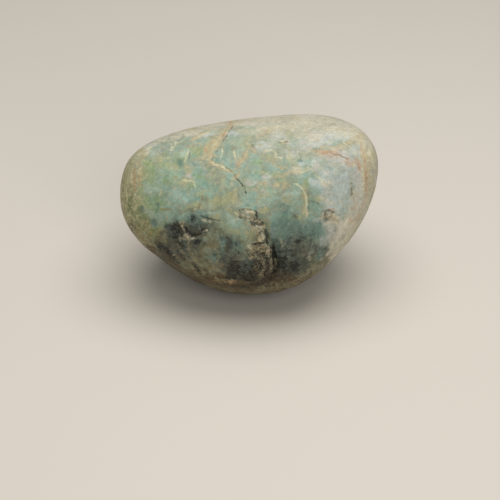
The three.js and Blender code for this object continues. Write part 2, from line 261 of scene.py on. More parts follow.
        # The patch at 9.6 across and 22.6 down darkens the crevice beside the scar with painted shade.
        (9.6, -22.6, 0.7, 2, 14), (-31, -23, 2.4, 1.4), (4, -41, 4.4, 3.4), (-9.6, -39.6, 2.4, 2),
        (-2, -43, 5, 1.6), (-42.6, -20, 1.8, 2.6), (-40, -25, 1.6, 2.4, 10), (-10, -40, 3.4, 2.8),
        (2, -43, 5, 2), (27, -23, 2.4, 1.2), (-43.4, -15.8, 2.4, 3.6), (3, -7.4, 0.6, 1.6, 10),
    ],
    ("front", "scar_cream"): [
        (-2, -7.2, 4, 1.8, -6), (4.3, -15, 1.4, 1.6), (7.1, -14.8, 1, 1), (9.6, -26.4, 1.8, 1.4),
        (10.4, -28.6, 1.4, 1.6), (5, -27.4, 3, 1.4), (1.4, -27.4, 2, 0.8), (6, -42.6, 0.9, 1.2, 20),
        (-39.2, -14.4, 0.7, 2, -10), (-36.4, -20.6, 1.2, 0.8), (46, -8, 2.4, 1, -20), (-15, -46, 6, 0.8),
        (2.6, -11, 2.4, 1.2, -20), (5, -29, 3.4, 1.2), (5, -20.4, 2, 2.6), (-1.6, -7, 3.4, 1.3, -6),
    ],
    ("front", "scar_brown"): [
        (0, -30.8, 3, 1), (2.6, -24.6, 2.6, 0.8), (9.8, -37, 1.4, 3), (6, -24, 2.4, 0.7),
        (5.2, -13.2, 1.4, 0.5, -20), (-5.6, -9.6, 2, 0.6, -30), (6, -46, 4, 1.2, 10),
        (-38.2, -18, 1.4, 0.8), (43, -7.6, 1, 1.2), (3, -38, 1.4, 3), (-25.6, -41, 1.6, 0.8, -50),
        (-48, -31.6, 3, 0.8, -40), (12, -42.6, 1.6, 1.6, 30), (-2, -5, 4, 0.5, -6),
    ],
    ("back", "sea_mint"): [
        (-30, 8, 14, 9, 10), (12, 14, 12, 6, -15), (40, 6, 9, 9), (-8, -8, 12, 7), (28, -18, 9, 7, 20),
        (-52, -6, 7, 9), (-24, -26, 10, 5), (58, 12, 6, 8),
    ],
    ("back", "leaf_green"): [
        (-40, 18, 8, 5, 20), (22, 2, 7, 5), (-14, 0, 6, 4), (46, -12, 7, 6), (6, -24, 8, 4),
    ],
    ("back", "pale_mist"): [
        (-16, 20, 10, 5), (34, 20, 9, 4, 10), (-46, 6, 8, 5), (2, 6, 7, 4), (52, -4, 5, 7),
        (-34, -14, 7, 4), (18, -10, 6, 4),
    ],
    ("back", "lilac"): [
        (-6, 26, 9, 3), (26, 12, 5, 4), (-28, 2, 4, 6, 30), (50, 20, 6, 4),
    ],
    ("back", "cream"): [
        (-20, 32, 18, 4, 3), (20, 34, 16, 4, -3), (44, 30, 10, 4, -15), (-48, 28, 10, 4, 20),
        (8, 20, 6, 2, 10), (-60, 12, 4, 8),
    ],
    ("back", "olive"): [
        (0, 14, 7, 4), (-22, -6, 7, 5), (38, -4, 6, 5), (60, -4, 5, 10), (-62, -4, 5, 10),
        (-10, -18, 8, 4), (24, -26, 9, 4), (14, 24, 5, 3),
    ],
    ("back", "tan"): [
        (-36, 24, 4, 1.6, 30), (6, 0, 5, 1.6, -20), (30, 26, 5, 1.4, 15), (-4, -14, 4, 1.4, 10),
        (48, -20, 4, 3), (-44, -16, 4, 3), (-56, 20, 3, 5),
    ],
    ("back", "rust"): [
        (20, 18, 3, 1.2), (-30, -20, 2, 2), (55, 2, 1.4, 3),
    ],
    ("back", "ochre"): [
        (44, -28, 6, 4, -35), (-40, -28, 7, 4, 35), (10, -34, 9, 3),
    ],
    ("back", "olive_grey"): [
        (-20, -32, 16, 7), (24, -34, 16, 6), (46, -24, 8, 6, -30), (-46, -22, 8, 7, 30), (0, -26, 9, 6),
    ],
    ("back", "teal"): [
        (-34, -24, 7, 5), (-14, -22, 6, 6), (34, -14, 6, 6), (10, -16, 5, 4), (-48, -10, 4, 5),
    ],
    ("back", "dark_grey"): [
        (-26, -28, 9, 6), (-40, -20, 5, 5), (30, -26, 7, 6), (6, -30, 7, 4),
    ],
    # The brown of the underside, darkened towards the foot with painted shade.
    ("back", "base_brown_and_shade"): [
        (0, -52, 26, 4),
    ],
    ("back", "near_black"): [
        (-30, -26, 4, 3), (-22, -32, 5, 2.4), (32, -24, 3, 3), (28, -32, 4, 2), (-42, -18, 2, 2.4),
        (4, -20, 1, 0.9), (16, -6, 0.9, 1.6),
    ],
    ("right", "sea_mint"): [
        (14, 16, 8, 6), (26, -6, 8, 8), (6, -14, 8, 5), (36, 12, 6, 7), (-4, 2, 5, 4), (-8, -19, 5, 2),
        (-20, -4, 2, 3), (-12, 14, 4, 2),
    ],
    ("right", "leaf_green"): [
        (20, 4, 6, 5), (10, -24, 6, 4), (-8, -21, 5, 3), (-2, 10, 3, 3),
    ],
    ("right", "pale_mist"): [
        (2, 12, 8, 8), (16, -4, 6, 5), (-6, -4, 5, 9), (30, 24, 8, 4), (-12, 2, 5, 5), (-20, -16, 4, 4),
    ],
    ("right", "lilac"): [
        (-2, 22, 6, 6), (8, 2, 5, 6), (24, 14, 4, 4), (-16, 12, 5, 5), (-6, -10, 6, 3), (-24, -8, 3, 6),
    ],
    ("right", "cream"): [
        (6, 30, 14, 5), (12, 10, 5, 3, 20), (0, -16, 5, 8, -10),
    ],
    ("right", "olive"): [
        (18, -18, 8, 6), (32, 2, 5, 5), (4, -28, 8, 5), (-22, -24, 5, 3), (-10, 18, 4, 3), (-2, -4, 3, 4),
    ],
    ("right", "tan"): [
        (-4, 8, 2, 10), (14, 22, 5, 1.6, -20), (22, -12, 4, 2), (-17, 4, 1.2, 6), (-10, -6, 4, 1.2, 20),
        (-4, -16, 1.4, 4),
    ],
    ("right", "rust"): [
        (-2, 14, 1.4, 5), (10, -6, 1.4, 2),
    ],
    ("right", "ochre"): [
        (8, -34, 8, 4, 10),
    ],
    ("right", "olive_grey"): [
        (14, -32, 14, 7), (34, -20, 8, 8),
    ],
    ("right", "teal"): [
        (28, -22, 6, 5), (12, -14, 3, 2.4), (-14, -27, 6, 2.4),
    ],
    ("right", "dark_grey"): [
        (24, -28, 8, 6), (36, -12, 3, 4),
    ],
    ("right", "near_black"): [
        (26, -27, 3, 3), (16, -10, 1, 1.2),
    ],
    ("left", "sea_mint"): [
        (-8, 10, 9, 7), (-26, 2, 8, 8), (2, -12, 7, 6), (10, 20, 6, 5),
    ],
    ("left", "leaf_green"): [
        (0, 18, 7, 5), (-16, -8, 7, 6), (8, 0, 5, 6),
    ],
    ("left", "pale_mist"): [
        (-16, 18, 7, 4), (-4, -2, 5, 4), (-34, 14, 6, 5),
    ],
    ("left", "lilac"): [
        (-24, 10, 4, 4), (4, 8, 3, 3),
    ],
    ("left", "cream"): [
        (-6, 30, 14, 5), (-12, 2, 5, 2.4, 20),
    ],
    ("left", "olive"): [
        (6, -6, 7, 8), (-10, -20, 9, 6), (-32, -6, 6, 7), (14, 8, 4, 10),
    ],
    ("left", "tan"): [
        (-2, 4, 4, 2), (-20, 24, 5, 1.6, 15), (10, -16, 5, 3),
    ],
    ("left", "rust"): [
        (-12, 12, 2, 1.2),
    ],
    ("left", "ochre"): [
        (6, -26, 9, 5), (-6, -32, 8, 4),
    ],
    ("left", "olive_grey"): [
        (-4, -32, 14, 6), (-28, -24, 9, 7),
    ],
    ("left", "teal"): [
        (-22, -18, 6, 5),
    ],
    ("left", "dark_grey"): [
        (-26, -22, 7, 5),
    ],
    ("left", "near_black"): [
        (-25, -23, 2.6, 2.4),
    ],
    ("top", "sea_mint"): [
        (-30, 40, 9, 5), (6, 42, 9, 5),
    ],
    ("top", "pale_mist"): [
        (30, 30, 12, 6), (-8, 34, 12, 5),
    ],
    ("top", "lilac"): [
        (4, 16, 14, 4), (-34, 32, 8, 4),
    ],
    ("top", "cream"): [
        (10, 24, 22, 8), (-26, 22, 16, 6, 10),
    ],
    ("top", "olive"): [
        (-14, 26, 6, 3), (22, 38, 8, 4),
    ],
    ("top", "tan"): [
        (16, 20, 8, 1.6, 15), (-20, 34, 7, 1.4, -10),
    ],
}

# Washes reach round the stone, so they are placed in space, in mm: middle and half size along x, y and z.
WASHES = {
    "pale_mist": [((-46, 12, 86), (32, 26, 9))],
    "cream": [((34, 16, 106), (44, 36, 7)), ((-26, 22, 96), (24, 18, 5))],
    # Cream on the right end, with a painted warm glow of light from below.
    "end_cream_and_glow": [((78, -24, 34), (7, 22, 16))],
    "lilac": [((76, 0, 62), (6, 26, 20))],
    "olive": [((-78, -16, 50), (10, 30, 30))],
    "olive_grey": [((0, -6, 4), (74, 60, 15))],
    # Brown of the underside with painted shade, darker towards the foot.
    "base_brown_and_shade": [((0, -6, -4), (66, 54, 13))],
    "end_strokes": [((-78, -22, 52), (16, 34, 40)), ((72, -20, 40), (8, 30, 30))],
    "crown_strokes": [((28, 14, 106), (56, 44, 11)), ((66, -10, 60), (10, 36, 30))],
}

# Where the front eye can't see, these finishes also lie in patches that noise places: their size in mm and
# the level of noise that they begin at, from -1 to 1. They are full at WILD_SOFTNESS above it. Noise that
# is WILD_FINER times as fine roughens their edges.
WILD = {
    "sea_mint": (20, 0.05),
    "leaf_green": (11, 0.2),
    "pale_mist": (13, 0.15),
    "lilac": (9, 0.2),
    "olive": (15, 0.15),
    "tan": (8, 0.25),
    "ochre": (12, 0.35),
    "olive_grey": (18, 0.5),
    "teal": (12, 0.45),
}
WILD_SOFTNESS = 0.5
WILD_FINER = 3
WILD_ROUGHNESS = 0.3
WILD_SEED = 30
WILD_ROUGH_SEED = 60

# Cracks that are both carved and coloured, most of them with painted shade and the foot crack brown: the
# places that they run through, across and up.
CARVED = {
    "pit_crack": [(-29, -8.3), (-26.4, -9.2), (-24, -10), (-21.7, -10.6), (-18, -11.2)],
    "pit_seam": [(-37.4, -15.6), (-36.2, -17.4), (-34.6, -19.2), (-32, -19.8), (-30, -19)],
    "foot_crack": [(-29, -38), (-26.6, -39.4), (-25, -41)],
    "back_seam": [(-38, -15), (-33, -18), (-28, -17)],
    "back_crack": [(-12, 6), (-18, 3), (-22, 1.6)],
    "back_foot_crack": [(22, -21), (28, -23)],
    "left_crack": [(-4, -6), (-8, -12), (-7, -18)],
}

# Veins, crumbling seams and fine cracks, by the look that they are placed from: half the width in mm and
# the places that each one runs through.
LINES = {
    ("front", "tan_band"): [
        (1.2, [(-9.6, 46), (-12, 43.4), (-15.7, 38.6), (-18, 35), (-20.5, 32), (-22.6, 29), (-23.9, 26.4),
               (-23.6, 23.6), (-22.6, 21.8), (-19.4, 20.6), (-16.6, 19.6), (-14, 18.4), (-11.4, 16.4)]),
        (0.9, [(-19.4, 36.4), (-23, 33.5), (-25.4, 31), (-26.4, 28), (-27, 24.7)]),
        (0.7, [(-34, 34.4), (-30, 37), (-28, 38.3), (-24, 39.5)]),
        (0.8, [(-1.5, 30.5), (-3, 28), (-2.4, 26), (-4.4, 24), (-6.6, 22)]),
        (0.8, [(46.5, 29.2), (50, 31), (54, 33), (58, 35), (63, 36)]),
        (1.8, [(62, 37), (63.6, 31), (65, 25), (65.8, 20), (66.2, 13), (65.8, 7)]),
        (0.8, [(64.6, 27), (67, 23.6), (69, 20.4)]),
        (0.6, [(12, 13.4), (17, 14.2), (21.6, 15.5), (27, 16.6), (31, 18)]),
        (0.7, [(-35.6, -22), (-35.2, -26), (-34.4, -31)]),
        (0.7, [(-7, 15.8), (-9, 14), (-10.6, 11.6), (-11, 9)]),
        (1.0, [(-64, 22), (-63, 15), (-63.4, 9)]),
        (0.6, [(4, 8.6), (9, 10.4), (12, 9), (15.5, 9.4), (19, 8)]),
        (0.6, [(3.3, 36), (7, 38.6), (11.6, 41.7)]),
        (0.6, [(-30, 33), (-27, 31), (-24, 30.4)]),
        (0.6, [(-22, 26), (-19, 25.4), (-16, 23)]),
        (0.6, [(-2, 33), (1.4, 30), (3.4, 26.6)]),
        (0.6, [(14, 20), (18, 18.6), (21, 19)]),
    ],
    ("front", "pale_band"): [
        (0.5, [(-22.4, 21.8), (-20, 20.9), (-17, 20), (-14.4, 18.9), (-12.4, 17.6)]),
        (0.4, [(-17.6, 36), (-19.8, 33.4), (-21.6, 31.4)]),
        (0.6, [(7.6, 27.4), (9, 28.9), (12, 29), (13.8, 28), (14, 26)]),
        (0.4, [(13.5, 25.4), (15.4, 24.9), (18, 25)]),
        (0.4, [(59, 22), (58.7, 20), (58.5, 18.5)]),
        (0.5, [(29, 16.4), (31.4, 17.4), (34.8, 18.6)]),
        (0.4, [(32.4, 19.6), (34, 18.6), (35.4, 17.4)]),
        (0.5, [(37.4, 14.4), (39.4, 13.4), (40.4, 12), (40.8, 10.4)]),
        (0.6, [(26.4, 9.6), (29, 8), (30.6, 6), (31.6, 3), (31.8, 0), (31.9, -4), (32, -8.4)]),
        (0.4, [(24.9, 10.2), (27.4, 8.8)]),
        (0.5, [(-38.5, 12.4), (-36.4, 11.6), (-34, 11.8), (-32.4, 10.4), (-32, 8.6)]),
        (0.4, [(-51.2, 6.9), (-51.8, 4.6), (-52.2, 2.9)]),
        (0.5, [(-35.6, 28.9), (-36.4, 26.4), (-36.8, 23.4)]),
        (0.4, [(-37.4, 26), (-38, 22)]),
        (0.5, [(-42.6, 33.7), (-43.6, 31.4), (-44.6, 30.4), (-45.8, 28.9)]),
        (0.4, [(-45.4, 33), (-44.8, 31)]),
        (0.5, [(-29.8, 36.8), (-27, 38.6), (-24.4, 39.6)]),
        (0.4, [(-41, 33.6), (-38, 34.8)]),
        (0.4, [(16.6, 34.2), (19.4, 34.4)]),
        (0.4, [(-9.6, 29), (-9.2, 26.4), (-8.3, 23.4)]),
        (0.4, [(-16.4, 30), (-16.6, 25.6)]),
        (0.5, [(50, 1.8), (51.4, -0.6), (53, -3)]),
        (0.4, [(-9, -6.6), (-7.4, -7.6)]),
        (0.4, [(-33.6, -5.4), (-30.6, -3.4), (-29, -1)]),
        (0.4, [(62.8, -2.4), (63.4, -6)]),
        (0.4, [(-60, 29), (-56, 31.6)]),
        (0.4, [(52, 34), (57, 31), (60, 26)]),
        (0.5, [(-70, 14), (-70.6, 8), (-70.8, 0)]),
        (0.5, [(-67.6, 16), (-68.4, 10), (-68.8, 4)]),
        (0.4, [(-65, 4), (-65.6, -2), (-64.8, -8)]),
        (0.4, [(-62, 21), (-64.6, 15)]),
        (0.5, [(67, 30), (69, 25), (70, 20)]),
        (0.4, [(64, 16), (64.6, 10), (64, 5)]),
    ],
    ("front", "rust_band"): [
        (1.3, [(39, 28), (42, 28), (45, 28), (48, 27.4)]),
        (0.6, [(60.2, 24.6), (61, 21.6), (62.6, 18.6)]),
        (0.6, [(48.6, 27), (51.6, 26.2), (55, 24.2)]),
        (0.6, [(-12, 45.4), (-11, 44), (-11.4, 42)]),
        (0.7, [(65, 24), (65.8, 18), (65.8, 12)]),
        (0.9, [(-67, 18), (-66, 13), (-66.4, 7)]),
        (0.8, [(66.6, 8), (65, 0), (62, -8)]),
    ],
    ("front", "teal"): [
        (1.0, [(-53.6, -1.4), (-53.3, -3.4), (-53.4, -5.6)]),
        (0.8, [(-62.4, -3), (-61.9, -5), (-61.6, -6.6)]),
        (0.9, [(-56, -11), (-55, -12.6), (-54, -14)]),
        (0.9, [(16, -3), (19, -2.6), (21, -3.2)]),
        (0.6, [(-33, 21.4), (-31.6, 20.6)]),
    ],
    ("front", "dim_crumbs"): [
        (1.0, [(0, -32.4), (3, -32), (6.4, -33.2), (7.8, -36.4), (6, -40.7), (4.8, -44)]),
        (0.8, [(10.4, -33), (11, -36), (10.8, -40)]),
        (0.6, [(11.9, -33.6), (12, -37.8)]),
        (0.6, [(14, -34), (14.2, -39.6)]),
        (0.8, [(-20.4, -44), (-18, -45.6), (-14, -45.6), (-10.4, -45)]),
        (0.6, [(-36, -21), (-35.6, -24), (-35, -28)]),
        (1.6, [(1, -28), (5, -28.4), (8, -28)]),
        (0.8, [(-3, -12.4), (1, -13.6)]),
    ],
    ("front", "dim_band"): [
        (0.8, [(-38, -30), (-33, -37), (-30, -42)]),
        (0.8, [(-34, -30), (-29, -37), (-26.4, -41.5)]),
        (0.8, [(-58, -14), (-61, -19), (-58, -23)]),
        (0.6, [(16.6, -21), (18, -24), (18.5, -27)]),
        (0.9, [(37, -36.6), (33, -40.4), (27, -43.4)]),
        (1.5, [(-26, -48), (-16, -51), (-4, -52.4), (8, -52.4)]),
        (2.4, [(6, -51), (14, -49.4), (22, -48.2), (30, -45), (37, -40.6)]),
        (0.7, [(-42, -25), (-39.4, -29), (-37, -34)]),
        (0.7, [(-24, -33), (-21, -38), (-15, -42)]),
        (0.6, [(-20, -27), (-18, -31), (-19, -35)]),
        (0.7, [(-41.4, -22), (-38.6, -21.4), (-36.8, -22)]),
    ],
    ("front", "pale_crumbs"): [
        (0.6, [(-27.4, -10.8), (-25.4, -11.4), (-23.3, -11.8)]),
        (0.8, [(-39.6, -12.6), (-39.2, -14.6), (-38.6, -16.6)]),
        (0.9, [(-37.4, -19.4), (-36.6, -20.8), (-35.2, -21.2)]),
        (0.5, [(-34, -21.4), (-32.4, -20.9)]),
        (0.7, [(-30.8, -19.2), (-29.6, -18.2)]),
        (0.5, [(-28, -17.6), (-25.2, -16.4)]),
        (0.6, [(-4, -8.6), (-1, -9.2), (1.6, -8.6)]),
        (0.6, [(-2, -5.8), (0.6, -6), (2, -6.8)]),
        (0.9, [(-1.4, -10.6), (2, -11), (4.4, -12.6)]),
        (0.9, [(4, -13.8), (4.6, -16.6)]),
        (0.8, [(6.2, -14.4), (7.2, -16.6), (6.8, -19.6), (6, -22.8)]),
        (1.0, [(-0.8, -25.6), (1.4, -26.8)]),
        (0.6, [(6, -25.4), (9, -25.2), (11.4, -26.6)]),
        (0.8, [(10, -27.4), (9.6, -29.4), (9.4, -31.4)]),
        (1.0, [(42.6, -8.4), (46, -8), (49, -9.6)]),
        (0.6, [(43.4, -11.4), (46.6, -11), (49, -12.6)]),
        (0.5, [(-45, -31.6), (-43.4, -30.8)]),
    ],
    ("front", "dark_crumbs"): [
        (1.2, [(-43, -13), (-41, -16), (-38, -19)]),
        (1.0, [(-36.8, -16.4), (-34.3, -19.2), (-31.5, -19.6), (-29, -18)]),
        (0.5, [(3.2, -6), (3.4, -9.4)]),
        (0.8, [(0.6, -12.6), (4.4, -13.4), (6.4, -13)]),
        (0.6, [(4.6, -17.4), (6.4, -17), (8, -17.8)]),
        (0.6, [(2.6, -24.5), (5.4, -24.1), (7.6, -24.6)]),
        # This row, and the rows that start at 9.6 and at 13.6 across, darken the crevice along the scar's
        # edge with painted shade.
        (1.1, [(12.8, -27.6), (13.4, -31), (13.6, -35)]),
        (1.0, [(4, -29.6), (7, -30), (9, -32)]),
        (1.2, [(9.6, -34), (10, -38), (9, -41)]),
        (1.2, [(13.6, -38), (13, -42), (10.6, -45)]),
        (0.9, [(-50, -26), (-46, -31), (-41, -35)]),
        (0.9, [(-33, -36), (-29, -41)]),
        (1.1, [(-10, -37.4), (-8.6, -41)]),
        (0.8, [(-6, -44), (2, -45.4), (8, -46)]),
        (1.4, [(-10, -38), (-10.4, -42)]),
        (0.7, [(2, -10.4), (4.2, -11.4)]),
        (0.7, [(5.6, -26.4), (8, -27)]),
        (0.8, [(10.6, -27.8), (12, -30.6)]),
    ],
    ("front", "rust_line"): [
        (0.5, [(36, 28.5), (40, 28.2), (44, 28.4), (46.6, 28.8)]),
        (0.7, [(41, 27.9), (44.6, 27.8), (47, 27.2)]),
        (0.4, [(55.5, 24.6), (58.4, 23), (61, 20.4), (62.4, 17.4)]),
        (0.4, [(62.6, 31), (64.6, 26.4), (66, 21)]),
        (0.5, [(65.4, 17), (66, 12), (65.6, 7)]),
        (0.5, [(-11.6, 45), (-14.4, 40), (-17.6, 35.6), (-20.2, 32)]),
        (0.5, [(-25.6, 31), (-25.4, 28)]),
        (0.5, [(-6.4, 23), (-4.6, 25), (-3.2, 27.6)]),
        (0.4, [(-67.2, 17), (-66.4, 13), (-66.6, 9)]),
        (0.4, [(-17, -37.4), (-15.6, -36)]),
        (0.5, [(-13, -46.4), (-9.6, -47.2), (-6, -47)]),
    ],
    ("front", "brown_line"): [
        (0.4, [(48, 26.5), (51.5, 26), (54, 25), (55.5, 24)]),
        (0.4, [(-35, 27.8), (-34.8, 25.8)]),
        (0.35, [(-10.2, 43), (-13.4, 38), (-16.4, 33.6), (-18.8, 29.6), (-20.6, 26), (-22, 23.4)]),
        (0.35, [(0.5, 32.5), (1.2, 31.4), (2.4, 30.4)]),
        (0.5, [(-14, 19.4), (-12, 17.9), (-10.5, 16.4), (-9, 14.6), (-8, 13.2), (-7, 11.8)]),
        (0.4, [(33, 5), (32.9, 1.6), (33, -1.5), (33.1, -5), (32.8, -8.3)]),
        (0.4, [(33, 0), (36, -0.3), (38.6, -1.2)]),
        (0.5, [(57.5, 9.6), (57.6, 3.6)]),
        (0.6, CARVED["foot_crack"]),
        (0.5, [(-41, -31), (-37, -37)]),
        (0.5, [(-33, -38), (-29.6, -43)]),
        (0.5, [(-34.2, -6), (-31.6, -4.8), (-29.8, -2.9), (-28.6, 0), (-27.4, 2.3)]),
        (0.4, [(-6.4, -5), (-5, -4.4), (-3, -4.3), (0, -4.6), (2.6, -5.6)]),
        (0.6, [(-10, -47), (-5, -47.6), (0, -48.2), (5, -48.4)]),
        (0.4, [(16, 33.4), (18.6, 33.6), (21, 33.8)]),
        (0.5, [(-50, -29), (-46.6, -33)]),
        (0.5, [(42, -5.6), (44.6, -4.8), (47.6, -6.4)]),
        (0.5, [(-35.4, -22), (-35, -26), (-34.2, -31)]),
        (0.4, [(3.4, -11.6), (5, -12.6), (7, -13.6), (6.8, -16)]),
    ],
    # Painted shade inside the hairline crack, the pit cracks and the crevice along the scar's edge.
    ("front", "crack_shade"): [
        (0.4, [(-8, 13.2), (-7, 11.8), (-5.6, 10), (-4.6, 8.4), (-3.6, 6.4), (-3, 4.8)]),
        (0.5, [(8, -16.6), (9, -19), (9.5, -22), (10, -24.4)]),
        (0.9, [(12.4, -27.6), (12.9, -30.6), (13.4, -33.6), (13.6, -36)]),
        (0.6, [(14.4, -38.6), (13, -41.4), (11.4, -42.6), (9.6, -44.4)]),
        (0.25, CARVED["pit_crack"]),
        (0.5, CARVED["pit_seam"]),
    ],
    ("back", "tan_band"): [
        (1.4, [(6, 40), (4, 32), (-2, 24), (-4, 14), (-12, 6), (-22, 2)]),
        (0.9, [(-2, 24), (10, 18), (22, 16), (36, 10)]),
        (0.8, [(40, 32), (44, 22), (42, 12), (46, 2)]),
        (0.7, [(-50, 24), (-42, 12), (-40, 2)]),
        (0.8, [(10, -2), (20, -8), (24, -18)]),
    ],
    ("back", "pale_band"): [
        (0.6, [(4, 32), (-1, 25), (-3.4, 16), (-10, 7.4)]),
        (0.5, [(-34, 14), (-28, 17), (-22, 14)]),
        (0.5, [(28, 2), (33, 5), (36, 1)]),
        (0.5, [(-14, -4), (-9, -6), (-6, -4)]),
        (0.5, [(50, 10), (52, 4)]),
        (0.5, [(14, 26), (20, 29)]),
    ],
    ("back", "rust_band"): [
        (0.9, [(-46, 20), (-40, 19), (-34, 20)]),
    ],
    ("back", "dim_band"): [
        (0.8, [(-20, -24), (-12, -32)]),
        (0.8, [(18, -24), (26, -34)]),
    ],
    ("back", "pale_crumbs"): [
        (0.9, [(-38, -14), (-33, -17), (-29, -16)]),
        (0.7, [(22, -20), (27, -22)]),
    ],
    ("back", "dark_crumbs"): [
        (1.1, [(-38, -16), (-33, -19), (-28, -18)]),
        (0.9, [(22, -22), (28, -24), (32, -22)]),
    ],
    ("back", "brown_line"): [
        (0.5, [(-22, 2), (-30, -3), (-36, -10)]),
        (0.4, [(36, 10), (44, 7), (50, 8)]),
    ],
    # Painted shade inside the seams and cracks.
    ("back", "crack_shade"): [
        (0.5, CARVED["back_seam"]),
        (0.4, CARVED["back_crack"]),
        (0.4, CARVED["back_foot_crack"]),
    ],
    ("right", "tan_band"): [
        (1.2, [(0, 34), (4, 22), (2, 10), (6, 0), (4, -12)]),
        (0.8, [(4, 22), (16, 18), (28, 20)]),
        (0.9, [(-18, 24), (-20, 12), (-15, 0), (-17, -10), (-13, -22)]),
        (0.7, [(-15, 0), (-6, -3), (2, -1)]),
        (0.8, [(-10, 22), (-12, 12), (-9, 4), (-11, -6), (-8, -14)]),
    ],
    ("right", "pale_band"): [
        (0.6, [(6, 8), (12, 4), (18, 6)]),
        (0.5, [(20, -4), (26, 0)]),
        (0.5, [(-18.6, 16), (-18, 8), (-15.4, 2)]),
        (0.5, [(-8, 8), (-4, 11), (0, 9)]),
        (0.5, [(-10, -14), (-6, -17), (-1, -16)]),
        (0.5, [(-24, -2), (-21, -6)]),
    ],
    ("right", "rust_band"): [
        (1, [(2, 18), (1, 10), (4, 2)]),
        (0.8, [(-24, 12), (-23, 4), (-24, -4)]),
        (0.6, [(-12, -2), (-8, -6)]),
    ],
    ("right", "brown_line"): [
        (0.5, [(4, -12), (10, -20), (9, -28)]),
        (0.4, [(-15, -1), (-16, -8), (-14, -16)]),
    ],
    ("left", "tan_band"): [
        (1.1, [(-4, 36), (-8, 26), (-4, 16), (-8, 6), (-4, -6)]),
        (0.7, [(-4, 16), (-14, 12), (-24, 14)]),
    ],
    ("left", "pale_band"): [
        (0.6, [(-12, 20), (-7, 22), (-2, 20)]),
        (0.5, [(-20, 2), (-15, 4)]),
        (0.5, [(0, -8), (4, -12)]),
    ],
    # Painted shade inside the crack.
    ("left", "crack_shade"): [
        (0.4, CARVED["left_crack"]),
    ],
    ("top", "tan_band"): [
        (1, [(-10, 14), (-6, 24), (-10, 36), (-6, 46)]),
        (0.8, [(30, 16), (24, 26), (28, 40)]),
    ],
}

# Fine cracks, by what fills or darkens them: colour, share that shows, the level of noise that breaks
# them, and how many half widths out the colour ends. The crack shade is painted shade, dark inside the
# cracks and in the crevice beside the scar. Real ones are hair fine, and are drawn wider so that they show.
CRACKS = {
    "pale_band": ("cac49f", 0.55, 0.47, 1.0),
    "rust_line": ("a47c59", 0.5, 0.46, 1.4),
    "brown_line": ("5f5238", 0.6, 0.44, 1.7),
    # Painted shade, dark inside the cracks.
    "crack_shade": ("1b1a12", 0.75, 0.42, 1.7),
}

# How a crack bends and breaks. Noise of the bend size, in mm, times the bend, with the slack added, moves
# its edge in half widths. Inside the core its colour is full. It ends this many half widths past its last
# place. Noise of the break size breaks it, with this softness. A corner with no crack near counts as FAR
# half widths from one.
CRACK_BEND_SIZE = 2
CRACK_BEND = 5.0
CRACK_SLACK = -2.6
CRACK_CORE = 0.1
CRACK_END = 1.0
CRACK_BREAK_SIZE = 3
CRACK_BREAK_SOFTNESS = 0.06
FAR = 30.0

# Marks wander from their places in a slow drift and a fine ripple: the size of each in mm, how far it
# takes them in mm, and its first seed. Lines, and patches with a half size under SMALL in mm, keep their
# places closely, with no drift and a ripple of their own.
DRIFT_SIZE = 9
DRIFT = 2.4
DRIFT_SEED = 0
RIPPLE_SIZE = 2.5
RIPPLE = 1.2
RIPPLE_SEED = 5
CLOSE_RIPPLE = 0.5
SMALL = 2.0

# The ground under the finishes, and the mottles in it: colour, size in mm, the level of noise around which
# they begin, softness and share.
GROUND_HEX = "7b826c"
MOTTLES = [
    ("7b9483", 11, 0.5, 0.12, 0.6),
    ("948e68", 7, 0.55, 0.1, 0.5),
    ("949c93", 8, 0.57, 0.1, 0.45),
    ("6f8759", 5, 0.6, 0.08, 0.45),
    ("a4956c", 3.5, 0.6, 0.08, 0.5),
]

# Threads are the thin lines where noise crosses its middle: colour, size in mm, half width in noise and
# share. Other noise breaks them: its size in mm, level and softness.
THREADS = [
    ("b8a57a", 10, 0.03, 0.5),
    ("c2bb98", 7, 0.025, 0.4),
    ("a48a60", 14, 0.02, 0.5),
    ("66704f", 8, 0.025, 0.4),
]
THREAD_BREAK_SIZE = 4
THREAD_BREAK = (0.55, 0.07)

# Strokes that sand has left: the cover they lie in, what they run along, their width and length in mm,
# colour, the level of noise around which they begin, softness and share. Rings run round the front eye's
# line of sight and widen with depth, and levels run across at one height, as the front eye sees it. Real
# scratches are hair fine. They are drawn 1.3 to 3 mm wide so that they show. The spacing keeps the rows'
# noise apart.
STROKES = [
    ("end_strokes", "ring", 1.3, 6, "e4daab", 0.5, 0.04, 0.95),
    ("end_strokes", "ring", 1.6, 7, "54512f", 0.54, 0.04, 0.8),
    ("end_strokes", "ring", 2.2, 9, "ae8d5a", 0.57, 0.06, 0.5),
    ("crown_strokes", "level", 3, 18, "cdc7b4", 0.5, 0.14, 0.45),
    ("crown_strokes", "level", 3, 16, "b0b3a6", 0.54, 0.12, 0.4),
    ("crown_strokes", "level", 2.4, 14, "bfae88", 0.58, 0.1, 0.35),
]
STROKE_SPACING = 40
RING_LEAN = 0.5

# Flecks in the dark finishes and on the ends: as the mottles, and the cover that they lie in. Real ones go
# down to a few tenths of a millimetre. They are drawn at 1.2 mm and more so that they show.
FLECKS = [
    ("8c8f7c", 1.2, 0.64, 0.06, 0.4, "dark_grey"),
    ("9c9473", 1.3, 0.64, 0.06, 0.4, "olive_grey"),
    ("33301f", 2.6, 0.6, 0.06, 0.5, "olive_grey"),
    ("9fab98", 1.2, 0.63, 0.05, 0.4, "teal"),
    ("dcd2a4", 1.4, 0.57, 0.05, 0.7, "end_strokes"),
    ("544f30", 1.4, 0.59, 0.05, 0.6, "end_strokes"),
]

# Grain that makes everything lighter and darker between two levels of noise: size in mm and how far in
# all. Jadeite's own crystals are a few tenths of a millimetre, too fine to show, so they are drawn coarser.
GRAINS = [(7, 0.12), (2.2, 0.26), (0.9, 0.24)]
GRAIN_LEVELS = (0.3, 0.7)

